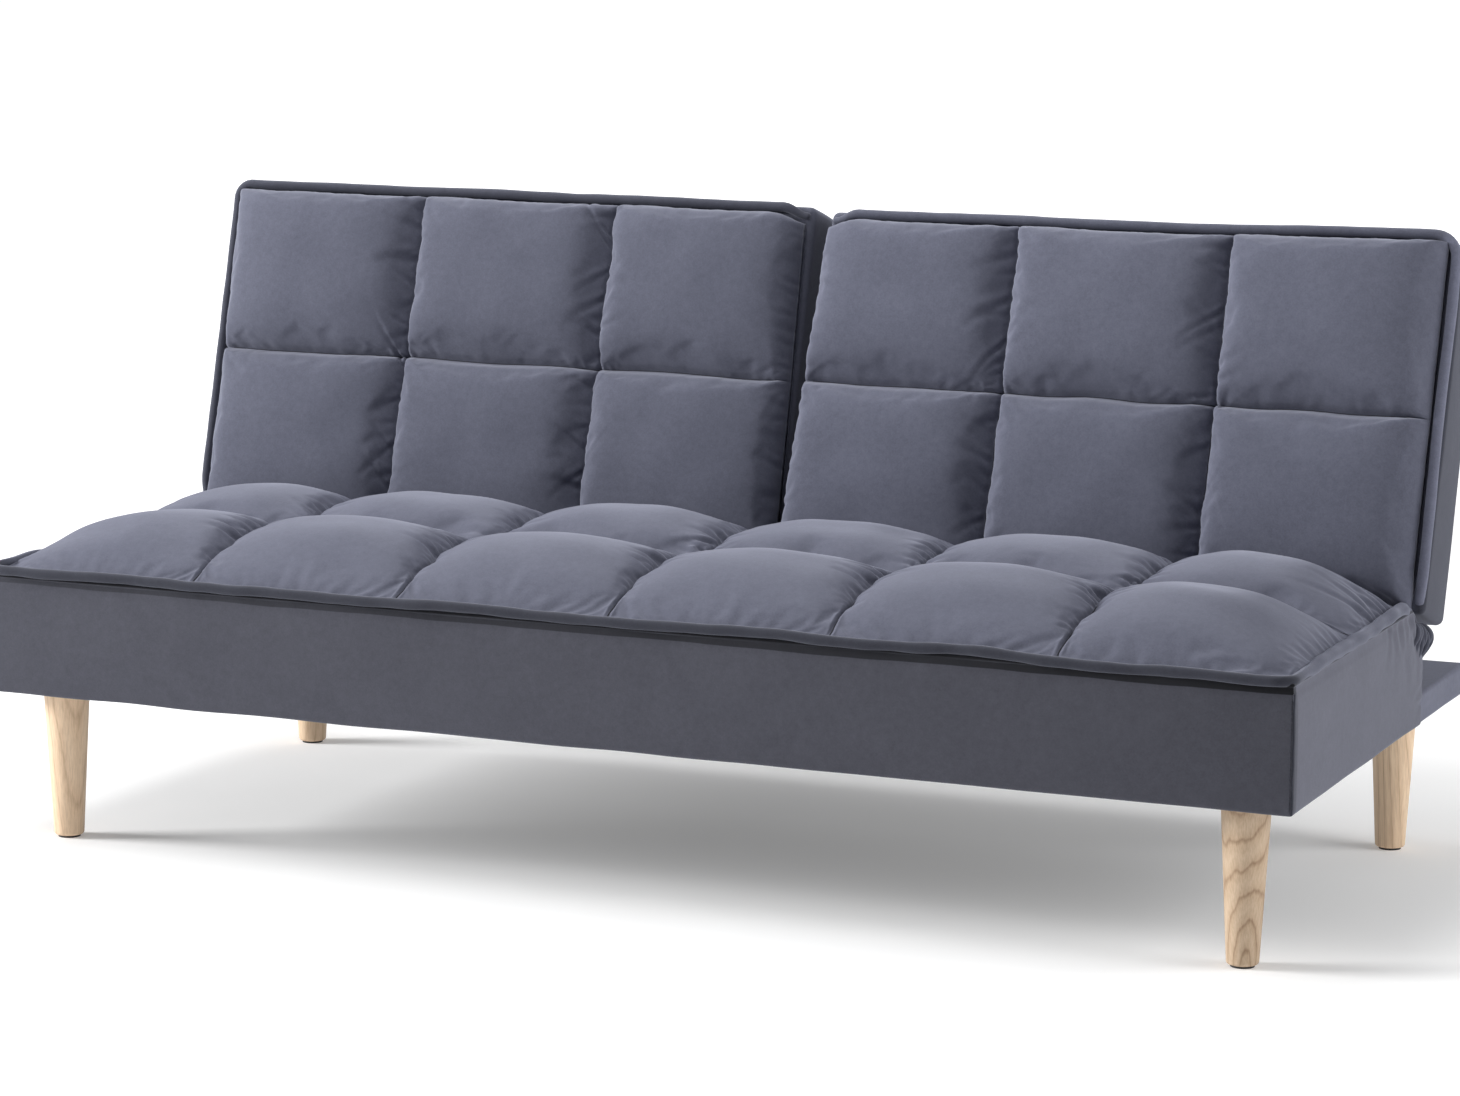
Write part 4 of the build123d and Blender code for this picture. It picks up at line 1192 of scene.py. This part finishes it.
def build_gathers(side, s):
    """Loose cloth bunched at the rear corner of the seat, beside the hinge line."""
    t = np.linspace(0, 1, 22)
    belly = np.sin(np.pi * t ** 0.75)
    rng = np.random.default_rng(930)
    paths = []
    for k in range(8):
        f = k / 7
        low = 0.311 - 0.010 * (k % 2) - 0.006 * rng.uniform()
        x = 0.8945 + (0.0035 + 0.0085 * f) * belly + 0.0012 * np.sin(5 * t + k)
        y = 0.566 + 0.035 * f - 0.010 * (1 - f) * t + 0.0010 * np.sin(6 * t + 2 * k)
        z = 0.3410 - 0.0065 * f + (low - 0.3410) * t
        paths.append(seat_to_world(np.stack([s * x, y, z], 1)))
    radius = 0.0030 + 0.0020 * belly
    ob = cords(side + "_corner_gathers", paths, radius, GATHER_VELVET, 12)
    widen_seat(ob)
    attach(ob, "base")
    return ob


build_seat_pad()
for side, s in (("left", -1), ("right", 1)):
    build_back_pad(side, s)
    build_back_shell(side, s)
    build_back_piping(side, s)
build_seat_border()
build_seat_piping()
build_deck()
build_corner_seams()
for side, s in (("left", -1), ("right", 1)):
    build_gathers(side, s)

# ------------------------------------------------------------------- stage
n = Nodes("floor_paper")
g = n.noise(6.0, 3.0, 0.5)
FLOOR_MAT = n.set(Base_Color=n.ramp(g, [(0.3, (0.88, 0.88, 0.88)), (0.7, (0.91, 0.91, 0.91))]), Roughness=0.95)
far = n.t.nodes.new("ShaderNodeVectorMath")
far.operation = "LENGTH"
n.link(n.coord, far.inputs[0])
glow = n.ramp(n.math("MULTIPLY", far.outputs["Value"], 0.1), [(0.10, (0.20, 0.20, 0.20)), (0.55, (0.85, 0.85, 0.85))])
n.link(glow, n.bsdf.inputs["Emission Color"])
n.bsdf.inputs["Emission Strength"].default_value = 1.0
n.bsdf.inputs["Specular IOR Level"].default_value = 0.1
floor = new_object("floor", np.array([[-30, -30, 0], [30, -30, 0], [30, 30, 0], [-30, 30, 0]], float), [[0, 1, 2, 3]], FLOOR_MAT, False)

world = bpy.data.worlds.new("studio")
SCENE.world = world
world.use_nodes = True
world.node_tree.nodes["Background"].inputs[0].default_value = (1.0, 1.0, 1.0, 1)
world.node_tree.nodes["Background"].inputs[1].default_value = 0.20


def softbox(name, place, aim, size, power):
    d = bpy.data.lights.new(name, "AREA")
    d.shape = "RECTANGLE"
    d.size, d.size_y = size
    d.energy = power
    ob = bpy.data.objects.new(name, d)
    SCENE.collection.objects.link(ob)
    ob.location = place
    ob.rotation_euler = (Vector(aim) - Vector(place)).to_track_quat("-Z", "Y").to_euler()
    return ob


LIGHTS = {
    "overhead": ((-0.60, -0.12, 3.1), (-0.25, 0.0, 0.3), (3.0, 1.8), 66.0),
    "right_fill": ((3.4, 0.5, 1.6), (0.6, 0.1, 0.3), (2.0, 2.0), 50.0),
    "left_key": ((-8.0, -3.0, 3.2), (0.0, 0.0, 0.45), (3.0, 2.6), 980.0),
    "backdrop": ((-3.0, 12.0, 4.5), (-3.0, 12.0, 0.0), (18.0, 12.0), 330.0),
}
for key, spec in LIGHTS.items():
    softbox(key, *spec)

# ------------------------------------------------------------------ camera
YAW, PITCH, ROLL = -0.4079, -0.1638, 0.0057
fw = np.array([math.sin(YAW) * math.cos(PITCH), math.cos(YAW) * math.cos(PITCH), math.sin(PITCH)])
rt = np.array([math.cos(YAW), -math.sin(YAW), 0.0])
up = np.cross(rt, fw)
rt2, up2 = math.cos(ROLL) * rt + math.sin(ROLL) * up, -math.sin(ROLL) * rt + math.cos(ROLL) * up
cam = bpy.data.cameras.new("camera")
cam.sensor_fit = "HORIZONTAL"
cam.sensor_width = 36.0
cam.lens = 36.0 * 4389.44 / 1460.0
cam.clip_end = 100.0
cam_ob = bpy.data.objects.new("camera", cam)
SCENE.collection.objects.link(cam_ob)
cam_ob.matrix_world = Matrix((
    (rt2[0], up2[0], -fw[0], 2.2971), (rt2[1], up2[1], -fw[1], -4.9122 - YM),
    (rt2[2], up2[2], -fw[2], 1.3593), (0, 0, 0, 1),
))
SCENE.camera = cam_ob
SCENE.view_settings.view_transform = "Standard"
SCENE.view_settings.look = "None"
